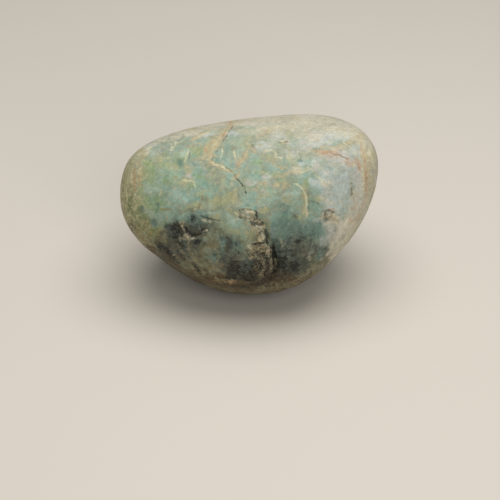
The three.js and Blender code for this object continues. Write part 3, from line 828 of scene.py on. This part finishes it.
# Grain breaks a finish around this level of its noise and this softly. Below it the grain takes from the
# cover as far as the finish's own value says, and above it the grain adds a share of that. The finish then
# comes in softly between two values of what is left.
GRAIN_BREAK = (0.5, 0.1)
GRAIN_GAIN = 0.7
COVER_FROM = 0.05
COVER_FULL = 0.95

# The noise of each pattern, and the seed that its first row starts from.
FINISH_NOISE = {"Detail": 4, "Roughness": 0.55, "Distortion": 0.6}
MOTTLE_NOISE = {"Detail": 7, "Roughness": 0.6, "Distortion": 0.8}
THREAD_NOISE = {"Detail": 3, "Roughness": 0.55, "Distortion": 1.2}
THREAD_BREAK_NOISE = {"Detail": 5, "Roughness": 0.7}
STROKE_NOISE = {"Detail": 1, "Roughness": 0.5}
FLECK_NOISE = {"Detail": 2, "Roughness": 0.5, "Distortion": 0.5}
CRACK_NOISE = {"Detail": 5, "Roughness": 0.7}
CRACK_BREAK_NOISE = {"Detail": 3, "Roughness": 0.6}
GRAIN_NOISE = {"Detail": 2, "Roughness": 0.5}
SEEDS = {
    "finish": 0, "mottle": 20, "thread": 40, "thread_break": 60, "grain": 80, "crack": 100, "stain": 120,
    "crack_break": 140, "fleck": 160,
}

# The satin of the rind: its roughness and gloss as sand has left them, far duller than a polished stone's.
# Then the hollows that sand has left: their noise, size and depth in mm, and strength. Real ones are a few
# tenths of a millimetre wide. They are drawn coarser to show.
RIND_ROUGHNESS = 0.62
RIND_GLOSS = 0.3
HOLLOW_NOISE = {"Detail": 6, "Roughness": 0.6}
HOLLOW_SIZE = 2.2
HOLLOW_DEPTH = 0.4
HOLLOW_STRENGTH = 0.35

# The low relief by look, in mm. A ledge has its drop, how far its low side takes to level out, and its
# line, with the low side on the left of the way. A groove has its depth, half its width and its line. Pits,
# bosses and rubble have their depth or height, and then a patch.
LEDGES = {
    "front": [
        (1.1, 5, [(1.6, -10), (4.4, -11.8), (7, -13.4), (8.2, -16), (8.6, -19), (9, -21.5), (9.4, -24),
                  (11.4, -25.6), (12.4, -28), (12.7, -31), (13.4, -34), (13.8, -38), (12.4, -41.5),
                  (10, -44), (7, -46)]),
        (0.7, 4, [(-27.2, 0.8), (-28.4, -1.4), (-30.2, -3.2), (-33, -4.2), (-36.5, -4.9), (-40, -6.6),
                  (-43, -8.4)]),
        (0.6, 3, [(49.6, -7.6), (47.4, -6.3), (45, -5), (42.4, -5.6)]),
        (0.5, 3, [(48.8, -11), (47, -9.4), (44, -8.6), (42, -9.6)]),
        (0.6, 3, [(-10, -45.6), (-14, -45.4), (-17, -46), (-20.4, -44.4)]),
        (0.4, 3, [(32.8, -8.4), (32.9, -4), (32.6, 0), (32.4, 4), (30.6, 6.6), (29, 9.2)]),
    ],
    "back": [
        (0.9, 5, [(-24, -12), (-30, -14), (-38, -13), (-44, -8)]),
        (0.6, 5, [(34, -22), (28, -24), (20, -21)]),
    ],
}
GROOVES = {
    "front": [
        (0.6, 0.7, [(-10.6, 16.8), (-8.2, 13.6), (-5.6, 10), (-4.6, 8.4), (-3.6, 6.4), (-3, 4.8)]),
        (0.3, 0.7, CARVED["pit_crack"]),
        (0.8, 1, CARVED["pit_seam"]),
        (0.5, 0.9, [(0.5, -11.6), (2.4, -12.8), (5, -13.2)]),
        (0.4, 0.8, [(-6.6, -6), (-6.4, -8.6), (-3.4, -10), (-0.6, -10.2), (2.8, -9.8), (3.6, -8),
                    (2.8, -5.4)]),
        (0.6, 0.9, [(2, -25), (5, -24.1), (8, -24.2)]),
        (0.5, 0.8, CARVED["foot_crack"]),
        (1, 1.4, [(8.6, -17), (9.4, -21.5), (10, -24.2), (13, -28), (13.4, -31), (14, -34), (14.6, -38),
                  (13.2, -42)]),
        (0.6, 1.2, [(8.6, -33), (9.6, -36), (9.4, -39), (7.6, -42)]),
        (0.8, 1.3, [(1.4, -33.8), (4.4, -35), (5.4, -38), (3.8, -42)]),
    ],
    "back": [
        (0.6, 0.9, CARVED["back_seam"]),
        (0.5, 0.8, CARVED["back_crack"]),
        (0.5, 0.8, CARVED["back_foot_crack"]),
    ],
    "left": [
        (0.4, 0.8, CARVED["left_crack"]),
    ],
}
PITS = {
    "front": [
        (0.8, -27, -16.8, 1.4, 1.1), (0.3, -53.3, -3.4, 1, 2.4), (0.3, -62, -4.2, 0.8, 1.2),
        (0.4, -55, -12.6, 1, 2, 30), (0.5, -33.6, -8.6, 1.4, 2.2), (0.7, -9.2, -39.4, 2.4, 2.2),
        (0.9, -42, -16, 2, 3.4, 10), (0.5, -51, -26, 3, 1.5, -40), (0.5, 41.4, -9.4, 1, 1.3),
        (0.35, -7.4, -29.6, 1, 1), (0.3, -8.5, -24.6, 0.9, 0.9), (0.3, -23.4, -17.6, 1.6, 1.4),
        (0.3, -14, -21, 2, 0.9), (0.4, 2, -37, 2, 3),
    ],
    "back": [
        (0.6, 32, -24, 2.4, 1.6), (0.4, 4, -20, 1.2, 1), (0.4, 16, -6, 1, 1.8), (0.4, -50, 4, 1.4, 1),
        (0.3, -6, 18, 1, 1), (0.4, 46, -14, 1.6, 2), (0.5, -30, -26, 3, 2),
    ],
    "right": [
        (0.5, 16, -10, 1.2, 1.4), (0.3, 8, 14, 1, 1.6), (0.6, 26, -27, 2.6, 2.4),
    ],
    "left": [
        (0.5, -8, -12, 1.2, 1.6), (0.5, -25, -23, 2.2, 2), (0.3, -12, 16, 1.2, 0.9),
    ],
}
BOSSES = {
    "front": [
        (0.7, -2, -7.2, 4.6, 2.1, -6), (0.4, 5.8, -20.6, 3.2, 3.2), (0.3, -36.4, -20.6, 1, 1),
        (0.3, 10, -28, 2.4, 3.4), (0.3, 4.4, -15, 1.8, 1.6), (0.3, 7, -15, 1.2, 1.2),
    ],
}
RUBBLE = {
    "front": [
        (0.6, 2.4, -11.4, 3.4, 1.6, -24), (0.5, 5.4, -14.8, 2.4, 2), (0.3, 5.8, -21, 3, 2.6),
        (0.8, 6, -28, 6, 3.6), (0.9, 7.6, -36, 5, 5.4), (0.8, 7, -43, 4.4, 3.4), (0.7, -37, -15, 4, 4),
        (0.8, -32, -19, 5, 2.4), (0.6, 45.6, -9, 3.6, 2.8), (0.5, -15, -46, 6, 1.6),
        (0.15, 28, -26, 10, 9), (0.15, -12, -34, 12, 9), (0.2, -38, -28, 9, 8),
        (0.15, -2, -7.2, 4.4, 2, -6), (0.3, -26, -12, 6, 3),
    ],
    "back": [
        (0.7, -33, -17, 6, 3), (0.5, 27, -23, 5, 2.6), (0.2, -20, -30, 9, 5),
    ],
}

# A ledge steps down between these places across its line, in mm. Pits, bosses and rubble come in between
# these depths inside their patches. Noise of this size, reach and first seed makes all of them jagged.
LEDGE_STEP = (-0.3, 0.5)
PIT_EDGE = (0.3, 1)
BOSS_EDGE = (0.3, 0.7)
RUBBLE_EDGE = (0.2, 0.8)
JAG_SIZE = 2.2
JAG = 0.5
JAG_SEED = 11

# Rubble is made of broken grains, coarse and fine: width in mm, then how much of the rubble's height their
# domes, their steps and the seams between them take, and how far their seams and tones count. Crumbs under
# a millimetre are drawn coarser so that they show. Noise of this size, reach and first seed bends the
# grains. A seam's width is a share of its grains' width.
RUBBLE_GRAINS = [
    (2.6, 0.6, 0.7, 0.4, 1, 0.6),
    (1.3, 0.5, 0, 0.2, 0.7, 0.4),
]
GRAIN_BEND_SIZE = 3
GRAIN_BEND = 0.9
GRAIN_BEND_SEED = 14
SEAM_WIDTH = 0.3

# The colours of the rubble's grains, with the tones between which they come in and their share, and the
# colour and share of the seams.
RUBBLE_TONES = [
    ("a79c82", 0.5, 0.9, 0.6),
    ("6b6049", 0.45, 0.2, 0.6),
]
SEAM_HEX = "2b261c"
SEAM_SHARE = 0.7

# A faint unevenness all over: height and size in mm, and seed. All relief comes in between two heights, in
# mm, over the flat that the stone rests on, so that the flat stays flat.
UNEVEN = [(0.22, 13, 21), (0.1, 4.5, 22)]
OVER_FLAT = (0.2, 4)

# How fast a patch fades outwards, so that half of it is left on its edge.
PATCH_FALL = 0.7

# How far apart the seeds lie in noise, and the numbers of a plain hash that gives each grain its tone.
SEED_STEPS = (7.3, 3.1, 5.7)
HASH_WAY = (12.9898, 78.233, 37.719)
HASH_SCALE = 43758.5453


def linear(hex_colour):
    """An sRGB hex colour as linear red, green, blue and alpha."""
    shares = [int(hex_colour[k:k + 2], 16) / 255 for k in (0, 2, 4)]
    curve = [s / 12.92 if s <= 0.04045 else ((s + 0.055) / 1.055) ** 2.4 for s in shares]
    return (*curve, 1)


def add(tree, kind, settings=None, links=None):
    """Adds a shader node. Settings are for its properties and sockets, links feed sockets from outputs."""
    node = tree.nodes.new("ShaderNode" + kind)
    for name, value in (settings or {}).items():
        if isinstance(name, str) and hasattr(node, name):
            setattr(node, name, value)
        else:
            node.inputs[name].default_value = value
    for name, source in (links or {}).items():
        tree.links.new(source, node.inputs[name])
    return node


def smooth(value, low, high):
    """0 below low, 1 above high and a soft rise between."""
    share = np.clip((value - low) / (high - low), 0, 1)
    return share * share * (3 - 2 * share)


def fade(reach):
    """1 in the middle, 0.5 on the edge, where the reach is 1, and near 0 at twice that."""
    return np.exp(-PATCH_FALL * reach ** 2)


def joined(covers):
    """Several covers as one. Each adds its share of what the others leave bare."""
    return 1 - np.prod([1 - cover for cover in covers], axis=0)


def look_axes(look):
    """The way ahead, to the right and up for the eye of a look, and the eye's place in mm."""
    azimuth, elevation = (math.radians(v) for v in LOOKS[look])
    level = np.array((math.sin(azimuth), -math.cos(azimuth), 0))
    ahead = -(level * math.cos(elevation) + np.array((0, 0, math.sin(elevation))))
    right = np.array((math.cos(azimuth), math.sin(azimuth), 0))
    up = np.cross(right, ahead)
    if look == "front":
        return ahead, right, up, -(ahead * CAMERA_DISTANCE + right * AIM_RIGHT + up * AIM_UP)
    return ahead, right, up, HEART - ahead * CAMERA_DISTANCE


def facing(points, normals, look):
    """How squarely each point faces the eye of a look: 1 towards it, 0 side on, below 0 turned away."""
    way = points - look_axes(look)[3]
    return -np.einsum("ij,ij->i", normals, way / np.linalg.norm(way, axis=1)[:, None])


def seen(points, normals, look):
    """Each point's place across and up as the eye of a look sees it, and how far it shows, from 0 to 1."""
    ahead, right, up, eye = look_axes(look)
    way = points - eye
    heart_way = HEART - eye
    depth = way @ ahead
    heart_depth = heart_way @ ahead
    across = way @ right / depth * heart_depth - heart_way @ right
    height = way @ up / depth * heart_depth - heart_way @ up
    shown = smooth(facing(points, normals, look), *COMES_IN)
    if look != "front":
        full = FADES_OUT[look]
        shown = shown * smooth(facing(points, normals, "front"), full + FADE, full)
    return np.stack((across, height), 1), shown


def waver(points, size, seed):
    """Smooth noise from about -1 to 1 at each point, with swells of the given size in mm."""
    start = Vector([seed * step for step in SEED_STEPS])
    return np.array([noise.noise(Vector(p) / size + start) for p in points])


def wander(points, size, first_seed, ways=3):
    """Smooth noise at each point, in several ways at once."""
    return np.stack([waver(points, size, first_seed + k) for k in range(ways)], 1)


def patch_depth(spots, across, height, half_width, half_height, turn=0):
    """How deep inside a patch each spot lies: 1 in its middle and 0.5 on its edge."""
    c = math.cos(math.radians(turn))
    s = math.sin(math.radians(turn))
    off = spots - (across, height)
    along_width = (off[:, 0] * c + off[:, 1] * s) / half_width
    along_height = (off[:, 1] * c - off[:, 0] * s) / half_height
    return fade(np.hypot(along_width, along_height))


def wash_depths(points, name):
    """How deep inside each of a finish's washes each point lies: 1 in the middle and 0.5 on the edge."""
    return [fade(np.linalg.norm((points - middle) / half_size, axis=1))
            for middle, half_size in WASHES.get(name, [])]


def line_offset(spots, line):
    """How far each spot is from a line through the given places, and how far to the left of its way."""
    near = np.full(len(spots), np.inf)
    left = np.zeros(len(spots))
    for start, end in zip(np.array(line[:-1], float), np.array(line[1:], float)):
        way = end - start
        off = spots - start
        share = np.clip(off @ way / (way @ way), 0, 1)
        gap = np.linalg.norm(off - share[:, None] * way, axis=1)
        side = (way[0] * off[:, 1] - way[1] * off[:, 0]) / np.linalg.norm(way)
        closer = gap < near
        near[closer] = gap[closer]
        left[closer] = (np.sign(side) * gap)[closer]
    return near, left


def line_reach(spots, lines):
    """How far each spot is from the nearest line in half widths, and the same with its side as the sign."""
    near = np.full(len(spots), FAR)
    side = np.full(len(spots), FAR)
    for half_width, line in lines:
        gap, left = line_offset(spots, line)
        closer = gap / half_width < near
        near[closer] = gap[closer] / half_width
        side[closer] = left[closer] / half_width
    return near, side


def fine_copy(node, name):
    """A smoothly divided copy of a solid, as a new piece with its place in its mesh."""
    bpy.ops.object.select_all(action="DESELECT")
    piece = bpy.data.objects.new(name, node.data.copy())
    piece.data.name = name
    piece.data.materials.clear()
    bpy.context.scene.collection.objects.link(piece)
    bpy.context.view_layer.objects.active = piece
    piece.select_set(True)
    bpy.ops.object.mode_set(mode="EDIT")
    bpy.ops.mesh.select_all(action="SELECT")
    bpy.ops.mesh.remove_doubles(threshold=WELD * MM)
    bpy.ops.object.mode_set(mode="OBJECT")
    divide = piece.modifiers.new("divide", "SUBSURF")
    divide.levels = DIVISIONS
    divide.render_levels = DIVISIONS
    bpy.ops.object.modifier_apply(modifier=divide.name)
    bpy.ops.object.shade_smooth()
    return piece


def corners(piece):
    """The places of a piece's corners in mm, and their normals."""
    places = np.empty(len(piece.data.vertices) * 3)
    normals = np.empty(len(piece.data.vertices) * 3)
    piece.data.vertices.foreach_get("co", places)
    piece.data.vertices.foreach_get("normal", normals)
    return places.reshape(-1, 3) / MM, normals.reshape(-1, 3)


def note(piece, name, values):
    """Keeps a number for each corner of the piece, for its material to read."""
    piece.data.attributes.new(name, "FLOAT", "POINT").data.foreach_set("value", values.astype(np.float32))


def grains(points, width):
    """Broken grains: each corner's height on its grain, how near it is to a seam, and its grain's tone."""
    rows = []
    for point in points:
        reach, cores = noise.voronoi(Vector(point) / width)
        rows.append((1 - reach[0], reach[1] - reach[0], *cores[0]))
    rows = np.array(rows)
    tone = np.sin(rows[:, 2:] @ HASH_WAY) * HASH_SCALE
    return rows[:, 0], smooth(rows[:, 1], SEAM_WIDTH, 0), tone - np.floor(tone)


def low_relief(points, normals):
    """The height in mm that ledges, cracks, pits and rubble give each corner, and the rubble's marks."""
    jag = JAG * wander(points, JAG_SIZE, JAG_SEED, ways=2)
    height = np.zeros(len(points))
    loose = np.zeros(len(points))
    for look in LOOKS:
        spots, shown = seen(points, normals, look)
        spots = spots + jag
        for drop, reach, line in LEDGES.get(look, []):
            near, left = line_offset(spots, line)
            height -= drop * smooth(left, *LEDGE_STEP) * smooth(near, reach, 0) * shown
        for depth, half_width, line in GROOVES.get(look, []):
            height -= depth * smooth(line_offset(spots, line)[0], half_width, 0) * shown
        for depth, *patch in PITS.get(look, []):
            height -= depth * smooth(patch_depth(spots, *patch), *PIT_EDGE) * shown
        for rise, *patch in BOSSES.get(look, []):
            height += rise * smooth(patch_depth(spots, *patch), *BOSS_EDGE) * shown
        for rise, *patch in RUBBLE.get(look, []):
            loose = np.maximum(loose, rise * smooth(patch_depth(spots, *patch), *RUBBLE_EDGE) * shown)
    bent = points + GRAIN_BEND * wander(points, GRAIN_BEND_SIZE, GRAIN_BEND_SEED)
    rough = np.zeros(len(points))
    seam = np.zeros(len(points))
    tone = np.zeros(len(points))
    for width, dome_share, step_share, seam_share, seam_counts, tone_counts in RUBBLE_GRAINS:
        dome, grain_seam, grain_tone = grains(bent, width)
        rough += dome_share * (dome - MIDDLE) + step_share * (grain_tone - MIDDLE)
        rough -= seam_share * grain_seam
        seam = np.maximum(seam, seam_counts * grain_seam)
        tone += tone_counts * grain_tone
    return height + loose * rough, {"rubble": loose, "seam": seam, "tone": tone}


def carve(piece):
    """Moves the corners along their normals by the low relief and a faint unevenness all over."""
    points, normals = corners(piece)
    height, marks = low_relief(points, normals)
    for rise, size, seed in UNEVEN:
        height += rise * waver(points, size, seed)
    height *= smooth(points[:, 2], *OVER_FLAT)
    moved = points + normals * height[:, None]
    moved[:, 2] = np.maximum(moved[:, 2], 0)
    piece.data.vertices.foreach_set("co", (moved * MM).ravel())
    piece.data.update()
    for name, values in marks.items():
        note(piece, name, values)


def note_marks(piece):
    """Notes how far each finish covers each corner, the strokes' courses and how near each crack is."""
    points, normals = corners(piece)
    drift = wander(points, DRIFT_SIZE, DRIFT_SEED)
    ripple = wander(points, RIPPLE_SIZE, RIPPLE_SEED)
    broken = points + DRIFT * drift + RIPPLE * ripple
    close = points + CLOSE_RIPPLE * ripple
    sights = {look: (*seen(broken, normals, look), seen(close, normals, look)[0]) for look in LOOKS}
    hidden = 1 - sights["front"][1]
    for k, finish in enumerate((*FINISHES, *STAINS)):
        covers = wash_depths(broken, finish)
        if finish in WILD:
            size, level = WILD[finish]
            swell = waver(points, size, WILD_SEED + k)
            rough = waver(points, size / WILD_FINER, WILD_ROUGH_SEED + k)
            covers.append(smooth(swell + WILD_ROUGHNESS * rough, level, level + WILD_SOFTNESS) * hidden)
        for look, (spots, shown, close_spots) in sights.items():
            for patch in PATCHES.get((look, finish), []):
                patch_spots = close_spots if min(patch[2:4]) < SMALL else spots
                covers.append(patch_depth(patch_spots, *patch) * shown)
            for half_width, line in LINES.get((look, finish), []):
                covers.append(fade(line_offset(close_spots, line)[0] / half_width) * shown)
        note(piece, finish, joined(covers))
    for strokes in sorted({row[0] for row in STROKES}):
        note(piece, strokes, joined(wash_depths(broken, strokes)))
    note_courses(piece, points - HEART, drift)
    for crack_kind in CRACKS:
        note_cracks(piece, crack_kind, sights)


def note_courses(piece, off, drift):
    """Notes what the strokes run along: how far out each corner lies, seen from the front, and how high."""
    ahead, _, up, _ = look_axes("front")
    depth = off @ ahead
    out = np.linalg.norm(off - depth[:, None] * ahead, axis=1)
    note(piece, "ring", out + RING_LEAN * depth + drift[:, 0])
    note(piece, "level", off @ up + drift[:, 1])


def note_cracks(piece, crack_kind, sights):
    """Notes how near each corner is to the cracks of one kind, plain and with its side as the sign."""
    near = np.full(len(piece.data.vertices), FAR)
    side = np.full(len(piece.data.vertices), FAR)
    for look, (_, shown, close_spots) in sights.items():
        look_near, look_side = line_reach(close_spots, LINES.get((look, crack_kind), []))
        look_near += FAR * (1 - shown)
        closer = look_near < near
        near[closer] = look_near[closer]
        side[closer] = look_side[closer]
    note(piece, crack_kind + "_near", near)
    note(piece, crack_kind + "_side", side)


def noise_mask(tree, place, size, seed, character, level, soft, values=(0, 1)):
    """Noise with swells of the given size in mm, turned softly around a level from one value to another."""
    swell = add(tree, "TexNoise", {"noise_dimensions": "4D", "W": seed, "Scale": METRE / size, **character},
                place)
    mask = add(tree, "MapRange", {"interpolation_type": "SMOOTHSTEP", "From Min": level - soft,
                                  "From Max": level + soft, "To Min": values[0], "To Max": values[1]},
               {"Value": swell.outputs["Fac"]})
    return mask.outputs["Result"]


def lay_colour(tree, below, hex_colour, share, *masks):
    """A colour laid over another, as far as its share and all of its masks show it."""
    shown = masks[0]
    for mask in masks[1:]:
        shown = add(tree, "Math", {"operation": "MULTIPLY"}, {0: shown, 1: mask}).outputs[0]
    part = add(tree, "Math", {"operation": "MULTIPLY", 1: share}, {0: shown})
    mixed = add(tree, "Mix", {"data_type": "RGBA", 7: linear(hex_colour)}, {0: part.outputs[0], 6: below})
    return mixed.outputs[2]


def lay_spots(tree, place, colour, rows, first_seed, character):
    """Mottles or flecks: all over, or inside a cover where a row names one."""
    for k, (hex_colour, size, level, soft, share, *covers) in enumerate(rows):
        masks = [noise_mask(tree, place, size, first_seed + k, character, level, soft)]
        for cover in covers:
            masks.append(add(tree, "Attribute", {"attribute_name": cover}).outputs["Fac"])
        colour = lay_colour(tree, colour, hex_colour, share, *masks)
    return colour


def lay_finishes(tree, place, colour, finishes, first_seed):
    """Finishes where they cover the rind, with edges that grain has broken."""
    for k, (finish, (hex_colour, size, rag, share)) in enumerate(finishes.items()):
        cover = add(tree, "Attribute", {"attribute_name": finish}).outputs["Fac"]
        lift = noise_mask(tree, place, size, first_seed + k, FINISH_NOISE, *GRAIN_BREAK,
                          (1 - rag, 1 + GRAIN_GAIN * rag))
        broken = add(tree, "Math", {"operation": "MULTIPLY"}, {0: cover, 1: lift})
        mask = add(tree, "MapRange",
                   {"interpolation_type": "SMOOTHSTEP", "From Min": COVER_FROM, "From Max": COVER_FULL},
                   {"Value": broken.outputs[0]})
        colour = lay_colour(tree, colour, hex_colour, share, mask.outputs["Result"])
    return colour


def lay_threads(tree, place, colour):
    """Thin threads that wind and break off."""
    for k, (hex_colour, size, half_width, share) in enumerate(THREADS):
        swell = add(tree, "TexNoise", {"noise_dimensions": "4D", "W": SEEDS["thread"] + k,
                                       "Scale": METRE / size, **THREAD_NOISE}, place)
        off = add(tree, "Math", {"operation": "SUBTRACT", 1: MIDDLE}, {0: swell.outputs["Fac"]})
        gap = add(tree, "Math", {"operation": "ABSOLUTE"}, {0: off.outputs[0]})
        line = add(tree, "MapRange", {"From Min": half_width, "From Max": 0}, {"Value": gap.outputs[0]})
        kept = noise_mask(tree, place, THREAD_BREAK_SIZE, SEEDS["thread_break"] + k, THREAD_BREAK_NOISE,
                          *THREAD_BREAK)
        colour = lay_colour(tree, colour, hex_colour, share, line.outputs["Result"], kept)
    return colour


def lay_strokes(tree, place, colour):
    """Long fine strokes along the rings of the ends and the levels of the crown, which take the seed's
    place in their noise."""
    for k, (strokes, along, width, length, hex_colour, level, soft, share) in enumerate(STROKES):
        cover = add(tree, "Attribute", {"attribute_name": strokes}).outputs["Fac"]
        course = add(tree, "Attribute", {"attribute_name": along}).outputs["Fac"]
        across = add(tree, "Math", {"operation": "MULTIPLY_ADD", 1: 1 / width, 2: STROKE_SPACING * k},
                     {0: course})
        stroke_place = {**place, "W": across.outputs[0]}
        mask = noise_mask(tree, stroke_place, length, 0, STROKE_NOISE, level, soft)
        colour = lay_colour(tree, colour, hex_colour, share, mask, cover)
    return colour


def lay_rubble(tree, colour):
    """The scar's rubble: pale and brown grains by their tone, and dark seams between them."""
    rubble = add(tree, "Attribute", {"attribute_name": "rubble"}).outputs["Fac"]
    tone = add(tree, "Attribute", {"attribute_name": "tone"}).outputs["Fac"]
    seam = add(tree, "Attribute", {"attribute_name": "seam"}).outputs["Fac"]
    for hex_colour, low, high, share in RUBBLE_TONES:
        mask = add(tree, "MapRange", {"From Min": low, "From Max": high}, {"Value": tone})
        colour = lay_colour(tree, colour, hex_colour, share, mask.outputs["Result"], rubble)
    return lay_colour(tree, colour, SEAM_HEX, SEAM_SHARE, seam, rubble)


def lay_cracks(tree, place, colour):
    """Fine cracks that bend a little, thicken, thin out and break off. How far to the side of one a place is
    gives its width, and how far in all ends it."""
    for k, (crack_kind, (hex_colour, share, level, bold)) in enumerate(CRACKS.items()):
        near = add(tree, "Attribute", {"attribute_name": crack_kind + "_near"}).outputs["Fac"]
        side = add(tree, "Attribute", {"attribute_name": crack_kind + "_side"}).outputs["Fac"]
        across = add(tree, "Math", {"operation": "ABSOLUTE"}, {0: side})
        past = add(tree, "Math", {"operation": "SUBTRACT", 1: CRACK_END}, {0: near})
        reach = add(tree, "Math", {"operation": "MAXIMUM"}, {0: across.outputs[0], 1: past.outputs[0]})
        swell = add(tree, "TexNoise", {"noise_dimensions": "4D", "W": SEEDS["crack"] + k,
                                       "Scale": METRE / CRACK_BEND_SIZE, **CRACK_NOISE}, place)
        bend = add(tree, "Math", {"operation": "MULTIPLY_ADD", 1: CRACK_BEND, 2: CRACK_SLACK},
                   {0: swell.outputs["Fac"]})
        edge = add(tree, "Math", {"operation": "ADD"}, {0: reach.outputs[0], 1: bend.outputs[0]})
        line = add(tree, "MapRange",
                   {"interpolation_type": "SMOOTHSTEP", "From Min": bold, "From Max": CRACK_CORE},
                   {"Value": edge.outputs[0]})
        kept = noise_mask(tree, place, CRACK_BREAK_SIZE, SEEDS["crack_break"] + k, CRACK_BREAK_NOISE,
                          level, CRACK_BREAK_SOFTNESS)
        colour = lay_colour(tree, colour, hex_colour, share, line.outputs["Result"], kept)
    return colour


def shade(tree, place, colour):
    """Grain that makes the colour lighter and darker."""
    for k, (size, reach) in enumerate(GRAINS):
        grain = add(tree, "TexNoise", {"noise_dimensions": "4D", "W": SEEDS["grain"] + k,
                                       "Scale": METRE / size, **GRAIN_NOISE}, place)
        tone = add(tree, "MapRange", {"From Min": GRAIN_LEVELS[0], "From Max": GRAIN_LEVELS[1],
                                      "To Min": 1 - reach / 2, "To Max": 1 + reach / 2},
                   {"Value": grain.outputs["Fac"]})
        scaled = add(tree, "VectorMath", {"operation": "SCALE"},
                     {0: colour, "Scale": tone.outputs["Result"]})
        colour = scaled.outputs[0]
    return colour


def rind(name):
    """River-worn jadeite rind, tumbled by sand and gravel. To the eye it is satin and faintly waxy, mottled
    mint and sage under cream, with tan veins and dark stains."""
    material = bpy.data.materials.new(name)
    material.use_nodes = True
    tree = material.node_tree
    surface = tree.nodes["Principled BSDF"]
    place = {"Vector": add(tree, "TexCoord").outputs["Object"]}
    ground = add(tree, "RGB").outputs[0]
    ground.default_value = linear(GROUND_HEX)
    colour = lay_spots(tree, place, ground, MOTTLES, SEEDS["mottle"], MOTTLE_NOISE)
    colour = lay_finishes(tree, place, colour, FINISHES, SEEDS["finish"])
    colour = lay_threads(tree, place, colour)
    colour = lay_strokes(tree, place, colour)
    colour = lay_finishes(tree, place, colour, STAINS, SEEDS["stain"])
    colour = lay_spots(tree, place, colour, FLECKS, SEEDS["fleck"], FLECK_NOISE)
    colour = lay_rubble(tree, colour)
    colour = lay_cracks(tree, place, colour)
    colour = shade(tree, place, colour)
    tree.links.new(colour, surface.inputs["Base Color"])
    hollows = add(tree, "TexNoise", {"Scale": METRE / HOLLOW_SIZE, **HOLLOW_NOISE}, place)
    bump = add(tree, "Bump", {"Strength": HOLLOW_STRENGTH, "Distance": HOLLOW_DEPTH * MM},
               {"Height": hollows.outputs["Fac"]})
    tree.links.new(bump.outputs["Normal"], surface.inputs["Normal"])
    surface.inputs["Roughness"].default_value = RIND_ROUGHNESS
    surface.inputs["Specular IOR Level"].default_value = RIND_GLOSS
    return material


def paper(name):
    """Pale backing paper, rolled matt. To the eye it is even and nearly without shine."""
    material = bpy.data.materials.new(name)
    material.use_nodes = True
    surface = material.node_tree.nodes["Principled BSDF"]
    surface.inputs["Base Color"].default_value = linear(FLOOR_HEX)
    surface.inputs["Roughness"].default_value = FLOOR_ROUGHNESS
    return material


def studio():
    """A plain pale floor under soft light from above, with a weak fill from the front."""
    bpy.ops.mesh.primitive_circle_add(vertices=FLOOR_SIDES, radius=FLOOR_RADIUS * MM, fill_type="NGON",
                                      location=(0, 0, 0))
    floor = bpy.context.object
    floor.name = "floor"
    floor.data.materials.append(paper("pale_paper"))
    for name, place, width, watts in SOFT_LIGHTS:
        light = bpy.data.lights.new(name, "AREA")
        light.shape = "DISK"
        light.size = width * MM
        light.energy = watts
        lamp = bpy.data.objects.new(name, light)
        lamp.location = Vector(place) * MM
        lamp.rotation_mode = "QUATERNION"
        lamp.rotation_quaternion = (Vector(HEART) * MM - lamp.location).to_track_quat("-Z", "Y")
        bpy.context.scene.collection.objects.link(lamp)
    world = bpy.data.worlds.new("sky")
    world.use_nodes = True
    sky = world.node_tree.nodes["Background"]
    sky.inputs["Color"].default_value = linear(SKY_HEX)
    sky.inputs["Strength"].default_value = SKY_STRENGTH
    bpy.context.scene.world = world
    bpy.context.scene.view_settings.view_transform = "Standard"


def camera():
    """The camera in front of the stone, looking down on it."""
    lens = bpy.data.cameras.new("camera")
    lens.lens = LENS
    lens.sensor_fit = "HORIZONTAL"
    lens.sensor_width = FILM
    eye = bpy.data.objects.new("camera", lens)
    eye.location = Vector(look_axes("front")[3]) * MM
    eye.rotation_euler = (math.radians(90 - LOOKS["front"][1]), 0, 0)
    bpy.context.scene.collection.objects.link(eye)
    bpy.context.scene.camera = eye


camera()
stone = fine_copy(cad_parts["boulder"], "worn_rind")
note_marks(stone)
carve(stone)
stone.data.materials.append(rind("river_worn_jadeite"))
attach(stone, "root")
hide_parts("boulder")
studio()
